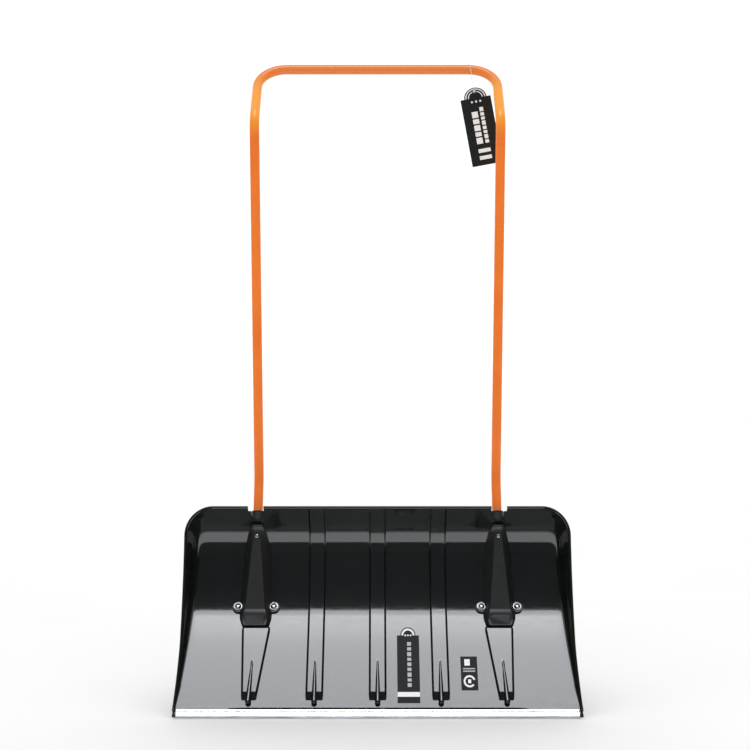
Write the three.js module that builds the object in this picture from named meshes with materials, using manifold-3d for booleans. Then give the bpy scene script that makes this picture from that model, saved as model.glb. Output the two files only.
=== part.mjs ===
// A wide snow shovel on two wheels: a moulded scoop with an aluminium cutting edge, a bent tube handle,
// two tube holders bolted through the scoop, and behind each one a fork with a small wheel.
// Millimetres. +X is the right of someone facing the scoop's open side, +Y is the back, +Z is up.
// The origin is on the floor, in the middle of the cutting edge's flat foot.

import * as THREE from "three";
import { mergeVertices } from "three/addons/utils/BufferGeometryUtils.js";
import Module from "manifold-3d";

const wasm = await Module();
wasm.setup();

// ---- Driving dimensions -------------------------------------------------------------------------

const GAP = 0.3; // between pieces that touch
const rad = THREE.MathUtils.degToRad;

const FLOOR_ANGLE = rad(52); // of the scoop's flat floor above the horizontal
const LIP_Y = -3; // where the floor's plane meets z = 0
const FLOOR_TOP = 178; // height where the flat floor ends
const WALL_RADIUS = 224; // of the curve from the floor to the upright wall
const HOOD_RADIUS = 72; // of the curve from the wall to the hood
const HOOD_ANGLE = rad(128); // of the hood above the horizontal
const SCOOP_TOP = 405;
const SHEET = 3.2; // wall thickness
const TOP_HALF_WIDTH = 399;
const LIP_HALF_WIDTH = 407.5;
const FLARE_HEIGHT = 140; // the sides flare out below this height
const CORNER_RADIUS = 60;
const RIM_DEPTH = 135; // how far behind the lip the hood's front edge is
const RIM_BOW = 1.7; // 1 would make the cheeks' front edge straight
const RIM_RADIUS = 3.3; // of the bead around the cheeks and the hood
const RIB_X = 126; // the two plain ribs beside the middle one
const RIB_HALF = 14.5;
const RIB_HEIGHT = 5;
const RIB_SIDE = 3; // width of a rib's sloping side

const LEG_X = 252;
const TUBE_RADIUS = 10;
const TUBE_WALL = 1.2;
const TUBE_BEND = 60; // radius of every bend, at the tube's centre line
const TUBE_END_Z = 232; // the tube's lower end, inside its holder
const TUBE_SLOPE = 0.33; // how far the tube's lower stretch goes back for each mm of height
const TUBE_AT = { y: 175, z: 334 }; // a point on that stretch
const LOWER_BEND_Z = 456;
const UPPER_BEND = { y: 104, z: 1197 };
const TOP_BAR = { y: 212, z: 1325 };

const EDGE_LENGTH = 793;
const EDGE_TOP_S = 20; // along the floor, from z = 0
const EDGE_SKIN = 1.7;
const EDGE_SCREWS = 7;
const EDGE_SCREW_S = 14.5;

const BOLT_S = 244; // holder bolts, along the floor
const BOLT_X = 37; // on each side of a leg
const BOLT_POCKET = 10.5; // radius of the clearance around each bolt
const BOLT_RADIUS = 3.9;
const BOLT_HOLE = 4.5;
const EAR_TOP = 5.4;

const FORK_PLATE = 3;
const FORK_GAP = 42;
const ARM_END = 13; // radius of a fork arm's end
const AXLE = { y: 215, z: 55.2 }; // the wheels just clear the floor that the cutting edge stands on
const WHEEL_RADIUS = 55;
const TYRE_WIDTH = 30;
const HUB_RADIUS = 41;
const HUB_WIDTH = 37.4;
const HUB_OPENING = { count: 5, radius: 6, at: 27 };
const AXLE_RADIUS = 3.9;
const SLEEVE_RADIUS = 6;

const TAG_WIDTH = 65;
const TAG_HEIGHT = 144;
const TAG_TILT = rad(10.5);
const TAG_X = 197; // where its tie hangs on the top bar
const TAG_TOP = -61; // the card's top edge, below the top bar's centre
const TAG_ARCH = { half: 24, height: 22 }; // the rounded top that the eyelet sits in

const TALL_LABEL = { x: 62, low: 34, width: 45, height: 147 }; // low is along the floor, from z = 0
const SMALL_LABEL = { x: 184, low: 61, width: 33.5, height: 73 };
const LABEL_FILM = 0.4;

// ---- Materials ----------------------------------------------------------------------------------

const finish = (color, roughness, metalness) =>
  new THREE.MeshStandardMaterial({ color, roughness, metalness });
const glossBlack = finish(0x101212, 0.15, 0);
const mattBlack = finish(0x1c1c1d, 0.5, 0);
const orangePaint = finish(0xe2712b, 0.35, 0);
const aluminium = finish(0xd9dcde, 0.35, 1);
const zinc = finish(0xb8bbbd, 0.3, 1);
const rubber = finish(0x161616, 0.85, 0);
const greyPlastic = finish(0x3a3d40, 0.5, 0);
const whitePlastic = finish(0xe8e8e6, 0.4, 0);
const blackCard = finish(0x121214, 0.5, 0);

// ---- Solids -------------------------------------------------------------------------------------

// A three.js geometry as a manifold-3d solid, turned to face out.
function solid(geometry) {
  const bare = geometry.clone();
  bare.deleteAttribute("normal");
  bare.deleteAttribute("uv");
  const merged = mergeVertices(bare, 1e-4);
  const position = merged.attributes.position.array;
  const triVerts = [];
  const index = merged.index.array;
  for (let i = 0; i < index.length; i += 3) {
    const [a, b, c] = [index[i], index[i + 1], index[i + 2]];
    if (a !== b && b !== c && c !== a) triVerts.push(a, b, c);
  }
  const build = (tris) =>
    new wasm.Manifold(new wasm.Mesh({
      numProp: 3,
      vertProperties: new Float32Array(position),
      triVerts: new Uint32Array(tris),
    }));
  const made = build(triVerts);
  if (made.volume() > 0) return made;
  const turned = [];
  for (let i = 0; i < triVerts.length; i += 3) turned.push(triVerts[i], triVerts[i + 2], triVerts[i + 1]);
  return build(turned);
}

function geometryOf(made) {
  const mesh = made.getMesh();
  const position = new Float32Array(mesh.numVert * 3);
  for (let i = 0; i < mesh.numVert; i++) {
    const start = i * mesh.numProp;
    position.set(mesh.vertProperties.subarray(start, start + 3), i * 3);
  }
  const geometry = new THREE.BufferGeometry();
  geometry.setAttribute("position", new THREE.BufferAttribute(position, 3));
  geometry.setIndex(new THREE.BufferAttribute(new Uint32Array(mesh.triVerts), 1));
  geometry.computeVertexNormals();
  return geometry;
}

const placed = (geometry, matrix) => geometry.clone().applyMatrix4(matrix);
const union = (solids) => solids.reduce((all, next) => all.add(next));
const EVEN = 0.06; // bumps smaller than this are smoothed away

const shovel = new THREE.Group();

function addPart(name, made, material) {
  const [whole] = made.simplify(0.01).decompose().sort((a, b) => b.volume() - a.volume());
  const mesh = new THREE.Mesh(geometryOf(whole), material);
  mesh.name = name;
  shovel.add(mesh);
}

// A rod along local z from z0 to z1.
function rod(radius, z0, z1, sides = 12) {
  const geometry = new THREE.CylinderGeometry(radius, radius, z1 - z0, sides);
  return geometry.rotateX(Math.PI / 2).translate(0, 0, (z0 + z1) / 2);
}

// A box from its lowest to its highest corner.
function block(low, high) {
  const size = high.map((value, i) => value - low[i]);
  return new THREE.BoxGeometry(...size).translate(...low.map((value, i) => value + size[i] / 2));
}

// An outline of [a, b] points in a plane, as a prism: a and b become the given axes, the depth the third.
function prism(points, depth, matrix) {
  const shape = new THREE.Shape(points.map(([a, b]) => new THREE.Vector2(a, b)));
  const geometry = new THREE.ExtrudeGeometry(shape, { depth, bevelEnabled: false, curveSegments: 8 });
  return matrix ? geometry.applyMatrix4(matrix) : geometry;
}

// A profile of [radius, height] points turned about local z.
function turned(profile, sides) {
  const points = profile.map(([r, h]) => new THREE.Vector2(r, h));
  return new THREE.LatheGeometry(points, sides).rotateX(Math.PI / 2);
}

// A closed body from rings that all have the same number of points.
function loft(rings, closed = false) {
  const count = rings[0].length;
  const position = rings.flat().flatMap((p) => [p.x, p.y, p.z]);
  const index = [];
  const last = closed ? rings.length : rings.length - 1;
  for (let i = 0; i < last; i++) {
    for (let j = 0; j < count; j++) {
      const a = i * count + j;
      const b = i * count + ((j + 1) % count);
      const c = ((i + 1) % rings.length) * count + j;
      const d = ((i + 1) % rings.length) * count + ((j + 1) % count);
      index.push(a, b, d, a, d, c);
    }
  }
  if (!closed) {
    const end = (rings.length - 1) * count;
    for (let j = 1; j < count - 1; j++) {
      index.push(0, j + 1, j);
      index.push(end, end + j, end + j + 1);
    }
  }
  const geometry = new THREE.BufferGeometry();
  geometry.setAttribute("position", new THREE.Float32BufferAttribute(position, 3));
  geometry.setIndex(index);
  return geometry;
}

// A round bar of that radius along a list of points.
function bar(path, radius, sides, closed = false) {
  const count = path.length;
  const at = (i) => path[closed ? (i + count) % count : Math.min(Math.max(i, 0), count - 1)];
  const normal = new THREE.Vector3();
  const rings = path.map((point, i) => {
    const tangent = at(i + 1).clone().sub(at(i - 1)).normalize();
    if (i === 0) {
      normal.set(0, 0, 1);
      if (Math.abs(tangent.z) > 0.9) normal.set(0, 1, 0);
    }
    normal.addScaledVector(tangent, -normal.dot(tangent)).normalize();
    const across = tangent.clone().cross(normal);
    return Array.from({ length: sides }, (_, k) => {
      const angle = (k * 2 * Math.PI) / sides;
      return point.clone()
        .addScaledVector(normal, radius * Math.cos(angle))
        .addScaledVector(across, radius * Math.sin(angle));
    });
  });
  return loft(rings, closed);
}

// The points of a path through corners, with each inner corner rounded to a radius.
function rounded(corners, radius, steps) {
  const points = [corners[0].clone()];
  for (let i = 1; i < corners.length - 1; i++) {
    const [before, corner, after] = [corners[i - 1], corners[i], corners[i + 1]];
    const back = before.clone().sub(corner).normalize();
    const on = after.clone().sub(corner).normalize();
    const half = back.angleTo(on) / 2;
    const centre = corner.clone().addScaledVector(back.clone().add(on).normalize(), radius / Math.sin(half));
    const start = corner.clone().addScaledVector(back, radius / Math.tan(half)).sub(centre);
    const turn = Math.PI - 2 * half;
    const axis = back.clone().cross(on).normalize().negate();
    for (let k = 0; k <= steps; k++) {
      points.push(start.clone().applyAxisAngle(axis, (turn * k) / steps).add(centre));
    }
  }
  points.push(corners.at(-1).clone());
  return points;
}

// ---- The scoop's own coordinates ----------------------------------------------------------------
// x across, s up along the flat floor from z = 0, n out of the floor into the scoop.

const cosFloor = Math.cos(FLOOR_ANGLE);
const sinFloor = Math.sin(FLOOR_ANGLE);

function onFloor(x, s, n) {
  return new THREE.Matrix4().makeBasis(
    new THREE.Vector3(1, 0, 0),
    new THREE.Vector3(0, cosFloor, sinFloor),
    new THREE.Vector3(0, -sinFloor, cosFloor),
  ).setPosition(x, LIP_Y + s * cosFloor - n * sinFloor, s * sinFloor + n * cosFloor);
}

const floorEnd = { y: LIP_Y + FLOOR_TOP / Math.tan(FLOOR_ANGLE), z: FLOOR_TOP };
const wallEnd = {
  y: floorEnd.y + WALL_RADIUS * (1 - sinFloor),
  z: floorEnd.z + WALL_RADIUS * cosFloor,
};
const hoodStart = {
  y: wallEnd.y + HOOD_RADIUS * (Math.sin(HOOD_ANGLE) - 1),
  z: wallEnd.z - HOOD_RADIUS * Math.cos(HOOD_ANGLE),
};

// How far back the scoop's inner face is at height z, away from the ribs.
function faceY(z) {
  if (z <= floorEnd.z) return LIP_Y + z / Math.tan(FLOOR_ANGLE);
  if (z <= wallEnd.z) {
    const angle = Math.acos(cosFloor - (z - floorEnd.z) / WALL_RADIUS);
    return floorEnd.y + WALL_RADIUS * (Math.sin(angle) - sinFloor);
  }
  if (z <= hoodStart.z) {
    const angle = Math.acos(-(z - wallEnd.z) / HOOD_RADIUS);
    return wallEnd.y + HOOD_RADIUS * (Math.sin(angle) - 1);
  }
  return hoodStart.y + (z - hoodStart.z) / Math.tan(HOOD_ANGLE);
}

// The direction out of that face, in the y z plane.
function faceNormal(z) {
  const step = 0.5;
  const slope = (faceY(z + step) - faceY(z - step)) / (2 * step);
  return new THREE.Vector3(0, -1, slope).normalize();
}

function rimY(z) {
  const bowed = RIM_DEPTH * (1 - (1 - Math.min(z, SCOOP_TOP) / SCOOP_TOP) ** RIM_BOW);
  return Math.min(bowed, faceY(z) - 2);
}

// Half the scoop's width at height z, less an inset.
function halfWidth(z, inset) {
  const flare = Math.max(0, 1 - z / FLARE_HEIGHT) ** 1.5 * (LIP_HALF_WIDTH - TOP_HALF_WIDTH);
  const up = Math.max(0, z - (SCOOP_TOP - CORNER_RADIUS));
  const radius = CORNER_RADIUS - inset;
  return TOP_HALF_WIDTH + flare - CORNER_RADIUS + Math.sqrt(Math.max(radius ** 2 - up ** 2, 0));
}

// ---- The scoop ----------------------------------------------------------------------------------

const cheekFlare = (z) => 0.5 + 15 * (z / 330) ** 1.7; // how far a cheek's foot is inside its rim
const cheekFillet = (z) => 4 + 0.045 * z;
const LEG_RIB = {
  lowHalf: 12.5, highHalf: 25.5, lowOut: 3.6, highOut: -2.6, lowZ: 38, highZ: 150, endZ: 155.5,
};
const RIB_FOOT = { start: 31.5, full: 44 };
const RIB_CENTRES = [-LEG_X, -RIB_X, 0, RIB_X, LEG_X];
const isLeg = (centre) => Math.abs(centre) === LEG_X;

// A leg's rib gets wider with height, and leans towards the middle. This gives its half width and its middle.
function ribAt(centre, z) {
  if (!isLeg(centre)) return { half: RIB_HALF, middle: centre };
  const along = THREE.MathUtils.clamp((z - LEG_RIB.lowZ) / (LEG_RIB.highZ - LEG_RIB.lowZ), 0, 1);
  const out = THREE.MathUtils.lerp(LEG_RIB.lowOut, LEG_RIB.highOut, along);
  return {
    half: THREE.MathUtils.lerp(LEG_RIB.lowHalf, LEG_RIB.highHalf, along),
    middle: Math.sign(centre) * (LEG_X + out),
  };
}

function ribLift(centre, z) {
  const foot = THREE.MathUtils.clamp((z - RIB_FOOT.start) / (RIB_FOOT.full - RIB_FOOT.start), 0, 1);
  return isLeg(centre) && z > LEG_RIB.endZ ? 0 : foot * RIB_HEIGHT;
}

// One row of the scoop's inner face, from its left rim to its right rim.
function scoopRow(z) {
  const face = faceY(z);
  const normal = faceNormal(z);
  const ribs = RIB_CENTRES.flatMap((centre) => {
    const { half, middle } = ribAt(centre, z);
    const lift = ribLift(centre, z);
    return [[-half - RIB_SIDE, 0], [-half, lift], [half, lift], [half + RIB_SIDE, 0]].map(([dx, up]) =>
      new THREE.Vector3(middle + dx, face + normal.y * up, z + normal.z * up));
  });
  const depth = face - rimY(z);
  const topX = halfWidth(z, RIM_RADIUS + SHEET / 2);
  const baseX = topX - Math.min(cheekFlare(z), depth);
  const fillet = Math.min(cheekFillet(z), depth * 0.6);
  const corner = new THREE.Vector3(baseX, face, z);
  const rim = new THREE.Vector3(topX, rimY(z), z);
  const start = new THREE.Vector3(baseX - fillet, face, z);
  const end = corner.clone().lerp(rim, fillet / corner.distanceTo(rim));
  const bend = new THREE.QuadraticBezierCurve3(start, corner, end).getPoints(3);
  const right = [...bend, rim];
  const left = right.map((p) => new THREE.Vector3(-p.x, p.y, p.z)).reverse();
  return [...left, ...ribs, ...right];
}

// A sheet of the wall's thickness behind a grid of points.
function thickened(rows, thickness) {
  const columns = rows[0].length;
  const front = rows.flat();
  const index = [];
  for (let i = 0; i < rows.length - 1; i++) {
    for (let j = 0; j < columns - 1; j++) {
      const a = i * columns + j;
      index.push(a, a + 1, a + columns + 1, a, a + columns + 1, a + columns);
    }
  }
  const surface = new THREE.BufferGeometry().setFromPoints(front);
  surface.setIndex(index);
  surface.computeVertexNormals();
  const normals = surface.getAttribute("normal");
  const back = front.map((p, i) =>
    p.clone().addScaledVector(new THREE.Vector3().fromBufferAttribute(normals, i), -thickness));
  const count = front.length;
  const turnedBack = [];
  for (let i = 0; i < index.length; i += 3) {
    turnedBack.push(index[i] + count, index[i + 2] + count, index[i + 1] + count);
  }
  const border = [];
  for (let j = 0; j < columns; j++) border.push(j);
  for (let i = 1; i < rows.length; i++) border.push(i * columns + columns - 1);
  for (let j = columns - 2; j >= 0; j--) border.push((rows.length - 1) * columns + j);
  for (let i = rows.length - 2; i > 0; i--) border.push(i * columns);
  const rim = border.flatMap((a, k) => {
    const b = border[(k + 1) % border.length];
    return [a, a + count, b + count, a, b + count, b];
  });
  const geometry = new THREE.BufferGeometry().setFromPoints([...front, ...back]);
  geometry.setIndex([...index, ...turnedBack, ...rim]);
  return geometry;
}

const scoopRows = [
  7.5, 20, RIB_FOOT.start, RIB_FOOT.full, 80, 120, LEG_RIB.highZ, LEG_RIB.endZ, LEG_RIB.endZ + 2.5, FLOOR_TOP,
  190, 204, 219, 235, 252, 270, 292, wallEnd.z, 324, 332, 340, 347, hoodStart.z,
  359, 367, 375, 382, 388.5, 393.5, 397.5, 400,
];

function rimPath() {
  const lowest = 14;
  const heights = [
    lowest, 60, 110, 160, 220, 285, 345, 357, 367, 375.5, 383, 389.5, 394.7, 398.4, 400.8, 401.7,
  ];
  const tuck = 4.2; // how far the bead slips under the hood's edge
  const right = heights.map((z) => {
    const up = Math.max(0, z - (SCOOP_TOP - CORNER_RADIUS)) / CORNER_RADIUS;
    return new THREE.Vector3(halfWidth(z, RIM_RADIUS), rimY(z) + tuck * up ** 2, z);
  });
  return [...right, ...right.map((p) => new THREE.Vector3(-p.x, p.y, p.z)).reverse()];
}

const tubeAxisAngle = Math.atan(TUBE_SLOPE);
const tubeY = (z) => TUBE_AT.y + (z - TUBE_AT.z) * TUBE_SLOPE;

// Local z along the tube's lower stretch, with its zero at height z.
function onTube(side, z) {
  return new THREE.Matrix4().makeRotationX(-tubeAxisAngle).setPosition(side * LEG_X, tubeY(z), z);
}

const SLOT_RADIUS = 15.5;
const NOTCH = { half: 16, z: 394, innerHalf: 10.5, innerZ: 386.5 }; // the inner notch has a round bottom
const BOSS = { start: 29, length: 106, low: 5.6, high: 2, n: 6, sink: 3.6, legX: 257, legLean: 4.7 };

function edgeScrewX(i) {
  return THREE.MathUtils.lerp(-EDGE_LENGTH / 2 + 20, EDGE_LENGTH / 2 - 20, i / (EDGE_SCREWS - 1));
}

// A tapered bar on each rib's foot, which sinks into the rib at its thin end.
function boss(centre) {
  const lean = isLeg(centre) ? Math.atan(BOSS.legLean / BOSS.length) * Math.sign(centre) : 0;
  const x = isLeg(centre) ? Math.sign(centre) * BOSS.legX : centre;
  const cone = new THREE.CylinderGeometry(BOSS.high, BOSS.low, BOSS.length, 10);
  cone.translate(0, BOSS.length / 2, 0);
  cone.rotateX(-Math.atan(BOSS.sink / BOSS.length)).rotateZ(lean);
  return placed(cone, onFloor(x, BOSS.start, BOSS.n));
}

// The cut in the hood's edge that shows the tube, with a narrower round one below it.
function notch(side) {
  const x = side * LEG_X;
  const [front, back] = [100, 220];
  const wide = block([x - NOTCH.half, front, NOTCH.z], [x + NOTCH.half, back, SCOOP_TOP + 10]);
  const narrow = block([x - NOTCH.innerHalf, front, NOTCH.innerZ], [x + NOTCH.innerHalf, back, NOTCH.z + 1]);
  const round = rod(NOTCH.innerHalf, front, back, 16).rotateX(-Math.PI / 2).translate(x, 0, NOTCH.innerZ);
  return union([solid(wide), solid(narrow), solid(round)]);
}

function makeScoop() {
  const body = [solid(thickened(scoopRows.map(scoopRow), SHEET)), solid(bar(rimPath(), RIM_RADIUS, 6))];
  for (const centre of RIB_CENTRES) body.push(solid(boss(centre)));
  const cuts = [];
  for (const side of [-1, 1]) {
    const slotFrom = -12;
    const slotTo = 110;
    cuts.push(solid(placed(rod(SLOT_RADIUS, slotFrom, slotTo, 16), onTube(side, TUBE_AT.z))));
    cuts.push(notch(side));
    const x = side * LEG_X;
    for (const dx of [-BOLT_X, BOLT_X]) {
      cuts.push(solid(placed(rod(BOLT_HOLE, -10, 10), onFloor(x + dx, BOLT_S, 0))));
    }
  }
  for (let i = 0; i < EDGE_SCREWS; i++) {
    cuts.push(solid(placed(rod(2.1, -10, 0.5, 8), onFloor(edgeScrewX(i), EDGE_SCREW_S, 0))));
  }
  return union(body).simplify(EVEN).subtract(union(cuts));
}

// ---- The cutting edge ---------------------------------------------------------------------------

// Its section in s and n: a channel over the plastic lip, with a bead, a groove, a bevel and a flat foot.
function makeCuttingEdge() {
  const front = GAP + EDGE_SKIN;
  const back = -SHEET - GAP - EDGE_SKIN;
  const footS = (n) => (-n * cosFloor) / sinFloor; // where z = 0
  const slotS = 9;
  const bead = 1.2;
  const top = EDGE_TOP_S;
  const groove = front - 0.9;
  const section = [
    [footS(0.4), 0.4], [1.5, front - 0.25], [6.5, front],
    [top - 7.5, front], [top - 7, groove], [top - 5.4, groove],
    [top - 4.8, front + bead * 0.6], [top - 3.8, front + bead],
    [top - 1, front + bead], [top, front + bead * 0.4],
    [top, GAP], [slotS, GAP], [slotS, -SHEET - GAP], [top, -SHEET - GAP], [top, back], [footS(back), back],
  ];
  const across = new THREE.Matrix4().makeBasis(
    new THREE.Vector3(0, 1, 0), new THREE.Vector3(0, 0, 1), new THREE.Vector3(1, 0, 0),
  );
  const geometry = prism(section, EDGE_LENGTH, across).translate(-EDGE_LENGTH / 2, 0, 0);
  const body = solid(placed(geometry, onFloor(0, 0, 0)));
  const holes = Array.from({ length: EDGE_SCREWS }, (_, i) =>
    solid(placed(rod(2.1, back - 2, -SHEET, 8), onFloor(edgeScrewX(i), EDGE_SCREW_S, 0))));
  return body.subtract(union(holes));
}

// A pan-head screw through the channel's back skin into the lip.
function makeEdgeScrew(i) {
  const head = -SHEET - 2 * GAP - EDGE_SKIN;
  const profile = [
    [0, head - 2.2], [2.6, head - 2.2], [3.9, head - 1.2], [3.9, head], [1.8, head], [1.8, -0.6], [0, -0.6],
  ];
  const screw = turned(profile, 8);
  return solid(placed(screw, onFloor(edgeScrewX(i), EDGE_SCREW_S, 0)));
}

// ---- The handle ---------------------------------------------------------------------------------

function makeHandle() {
  const leg = (side) => [
    new THREE.Vector3(side * LEG_X, tubeY(TUBE_END_Z), TUBE_END_Z),
    new THREE.Vector3(side * LEG_X, tubeY(LOWER_BEND_Z), LOWER_BEND_Z),
    new THREE.Vector3(side * LEG_X, UPPER_BEND.y, UPPER_BEND.z),
    new THREE.Vector3(side * LEG_X, TOP_BAR.y, TOP_BAR.z),
  ];
  const path = rounded([...leg(-1), ...leg(1).reverse()], TUBE_BEND, 5);
  const outside = solid(bar(path, TUBE_RADIUS, 14));
  const first = path[0].clone().lerp(path[1], -0.05);
  const last = path.at(-1).clone().lerp(path.at(-2), -0.05);
  const inside = solid(bar([first, ...path.slice(1, -1), last], TUBE_RADIUS - TUBE_WALL, 10));
  const holes = [-1, 1].map((side) => solid(placed(rod(2.1, -12, -3), onNeck(side))));
  return outside.subtract(inside).subtract(union(holes));
}

function makeEndPlug(side) {
  const inner = TUBE_RADIUS - TUBE_WALL - 3 * GAP;
  const profile = [[0, -4], [TUBE_RADIUS, -4], [TUBE_RADIUS, -GAP], [inner, -GAP], [inner, 14], [0, 14]];
  const plug = turned(profile, 16);
  return solid(placed(plug, onTube(side, TUBE_END_Z)));
}

// A grommet that fills the slot in the hood around the tube.
function makeCollar(side) {
  const [low, high] = [22, 57];
  const outer = SLOT_RADIUS - 0.6;
  const bore = TUBE_RADIUS + 0.6;
  const profile = [
    [bore, low], [outer - 1.5, low], [outer, low + 1.5],
    [outer, high - 2], [outer - 2, high], [bore, high], [bore, low],
  ];
  return solid(placed(turned(profile, 14), onTube(side, TUBE_AT.z)));
}

// ---- The tube holders ---------------------------------------------------------------------------

const FACET_LOW = { y: 117, z: 196 };
const FACET_SLOPE = 0.3;
const facetY = (z) => FACET_LOW.y + (z - FACET_LOW.z) * FACET_SLOPE;

// The holder's outline at height z: half widths at its base and at its front facet, and the facet's y.
const HOLDER_SECTIONS = [
  { z: 160, base: 22, facet: 19, y: 115 },
  { z: 164, base: 28, facet: 23, y: 110 },
  { z: 174, base: 32.5, facet: 25.5, y: 108 },
  { z: 187, base: 33.5, facet: 24, y: 111 },
  { z: 196, base: 33.5, facet: 20.5, y: facetY(196) },
  { z: 214, base: 32.5, facet: 18.9, y: facetY(214) },
  { z: 232, base: 31.2, facet: 17.2, y: facetY(232) },
  { z: 250, base: 30, facet: 15.6, y: facetY(250) },
  { z: 268, base: 28.8, facet: 13.9, y: facetY(268) },
  { z: 286, base: 27.8, facet: 12.3, y: facetY(286) },
  { z: 302, base: 27, facet: 10.8, y: facetY(302) },
  { z: 316, base: 25.5, facet: 9.6, y: facetY(316) },
  { z: 327, base: 21, facet: 8.6, y: facetY(327) },
  { z: 340, base: 19.6, facet: 7.6, y: facetY(340) },
  { z: 350, base: 16.3, facet: 6.8, y: facetY(348) },
  { z: 357, base: 13.5, facet: 6.2, y: 162 },
  { z: 364, base: 10.5, facet: 5.5, y: 157.5 },
];

function holderRing({ z, base, facet, y }, backY) {
  const foot = 4;
  const shoulder = Math.max(faceY(z) - foot, y + 1);
  return [[-base, backY], [-base, shoulder], [-facet, y], [facet, y], [base, shoulder], [base, backY]]
    .map(([x, depth]) => new THREE.Vector3(x, depth, z));
}

// Local z out of the neck's facet, with its zero on the facet, for the screw that holds the tube.
const NECK_SCREW_Z = 340;
function onNeck(side) {
  const tilt = Math.atan(FACET_SLOPE);
  return new THREE.Matrix4().makeRotationX(-tilt - Math.PI / 2)
    .multiply(new THREE.Matrix4().makeRotationX(Math.PI))
    .setPosition(side * LEG_X, facetY(NECK_SCREW_Z), NECK_SCREW_Z);
}

// Everything behind the scoop's inner face, near one holder's ears.
function behindFace(side) {
  const heights = [150, FLOOR_TOP, 186, 194, 202, 211, 220];
  const outline = heights.map((z) => [faceY(z) - GAP - 0.2, z]);
  outline.push([260, heights.at(-1)], [260, heights[0]]);
  const across = new THREE.Matrix4().makeBasis(
    new THREE.Vector3(0, 1, 0), new THREE.Vector3(0, 0, 1), new THREE.Vector3(1, 0, 0),
  );
  return solid(prism(outline, 120, across).translate(side * LEG_X - 60, 0, 0));
}

function makeHolder(side) {
  const rings = HOLDER_SECTIONS.map((section) => holderRing(section, faceY(section.z) - GAP - 0.2));
  let body = solid(loft(rings)).translate([side * LEG_X, 0, 0]);
  for (const dx of [-BOLT_X, BOLT_X]) {
    const at = onFloor(side * LEG_X + dx, BOLT_S, 0);
    const inward = Math.sign(dx) * -12;
    const web = block([Math.min(0, inward), -12, GAP + 0.2], [Math.max(0, inward), 12, EAR_TOP]);
    const ear = solid(placed(rod(12, GAP + 0.2, EAR_TOP, 16), at)).add(solid(placed(web, at)));
    body = body.subtract(solid(placed(rod(BOLT_POCKET, EAR_TOP, 80, 16), at)));
    body = body.add(ear).subtract(solid(placed(rod(BOLT_HOLE, -5, 14), at)));
  }
  const channel = solid(placed(rod(TUBE_RADIUS + 0.8, -30, 160, 12), onTube(side, TUBE_END_Z)));
  body = body.subtract(behindFace(side));
  const screwHole = solid(placed(rod(2.4, -12, 6), onNeck(side)));
  return body.subtract(channel).subtract(screwHole);
}

function makeNeckScrew(side) {
  const profile = [[0, -9.5], [1.8, -9.5], [1.8, GAP], [4, GAP], [4, 1.4], [2.4, 2.6], [0, 2.6]];
  const screw = turned(profile, 12);
  return solid(placed(screw, onNeck(side)));
}

// ---- Bolts --------------------------------------------------------------------------------------

const HEX = 7.5; // corner radius of an M8 hexagon
const WASHER = { outer: 8.8, bore: 4.3, thick: 1.6 };

function ring(outer, bore, low, high, sides = 12) {
  return turned([[bore, low], [outer, low], [outer, high], [bore, high], [bore, low]], sides);
}

const earWasher = EAR_TOP + GAP;
const boltHead = earWasher + WASHER.thick + GAP;
const nutTop = -SHEET - FORK_PLATE - 3 * GAP;

function makeWasher(at) {
  return solid(placed(ring(WASHER.outer, WASHER.bore, earWasher, earWasher + WASHER.thick), at));
}

function makeHolderBolt(at) {
  const dome = [[0, 0], [6.6, 0], [6.6, 0.8], [5.6, 2.6], [3.6, 4], [0, 4.6]];
  const head = solid(placed(turned(dome, 12).translate(0, 0, boltHead), at));
  return head.add(solid(placed(rod(BOLT_RADIUS, nutTop - 10, boltHead + 1), at)));
}

function makeNut(at) {
  const body = solid(placed(rod(HEX, nutTop - 6.5, nutTop, 6), at));
  return body.subtract(solid(placed(rod(BOLT_RADIUS + GAP, nutTop - 8, nutTop + 1), at)));
}

// ---- Forks and wheels ---------------------------------------------------------------------------

// Local z along the axle, +x.
function onAxle(side) {
  return new THREE.Matrix4().makeRotationY(Math.PI / 2).setPosition(side * LEG_X, AXLE.y, AXLE.z);
}

const axleS = (AXLE.y - LIP_Y) * cosFloor + AXLE.z * sinFloor;
const axleN = AXLE.z * cosFloor - (AXLE.y - LIP_Y) * sinFloor;

const FORK_BRACE = { s: 222, n: -55, radius: 6 }; // the bar that joins the two arms above the wheel
const FORK_MIDDLE = 249; // of the fork's plate, along the floor

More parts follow.
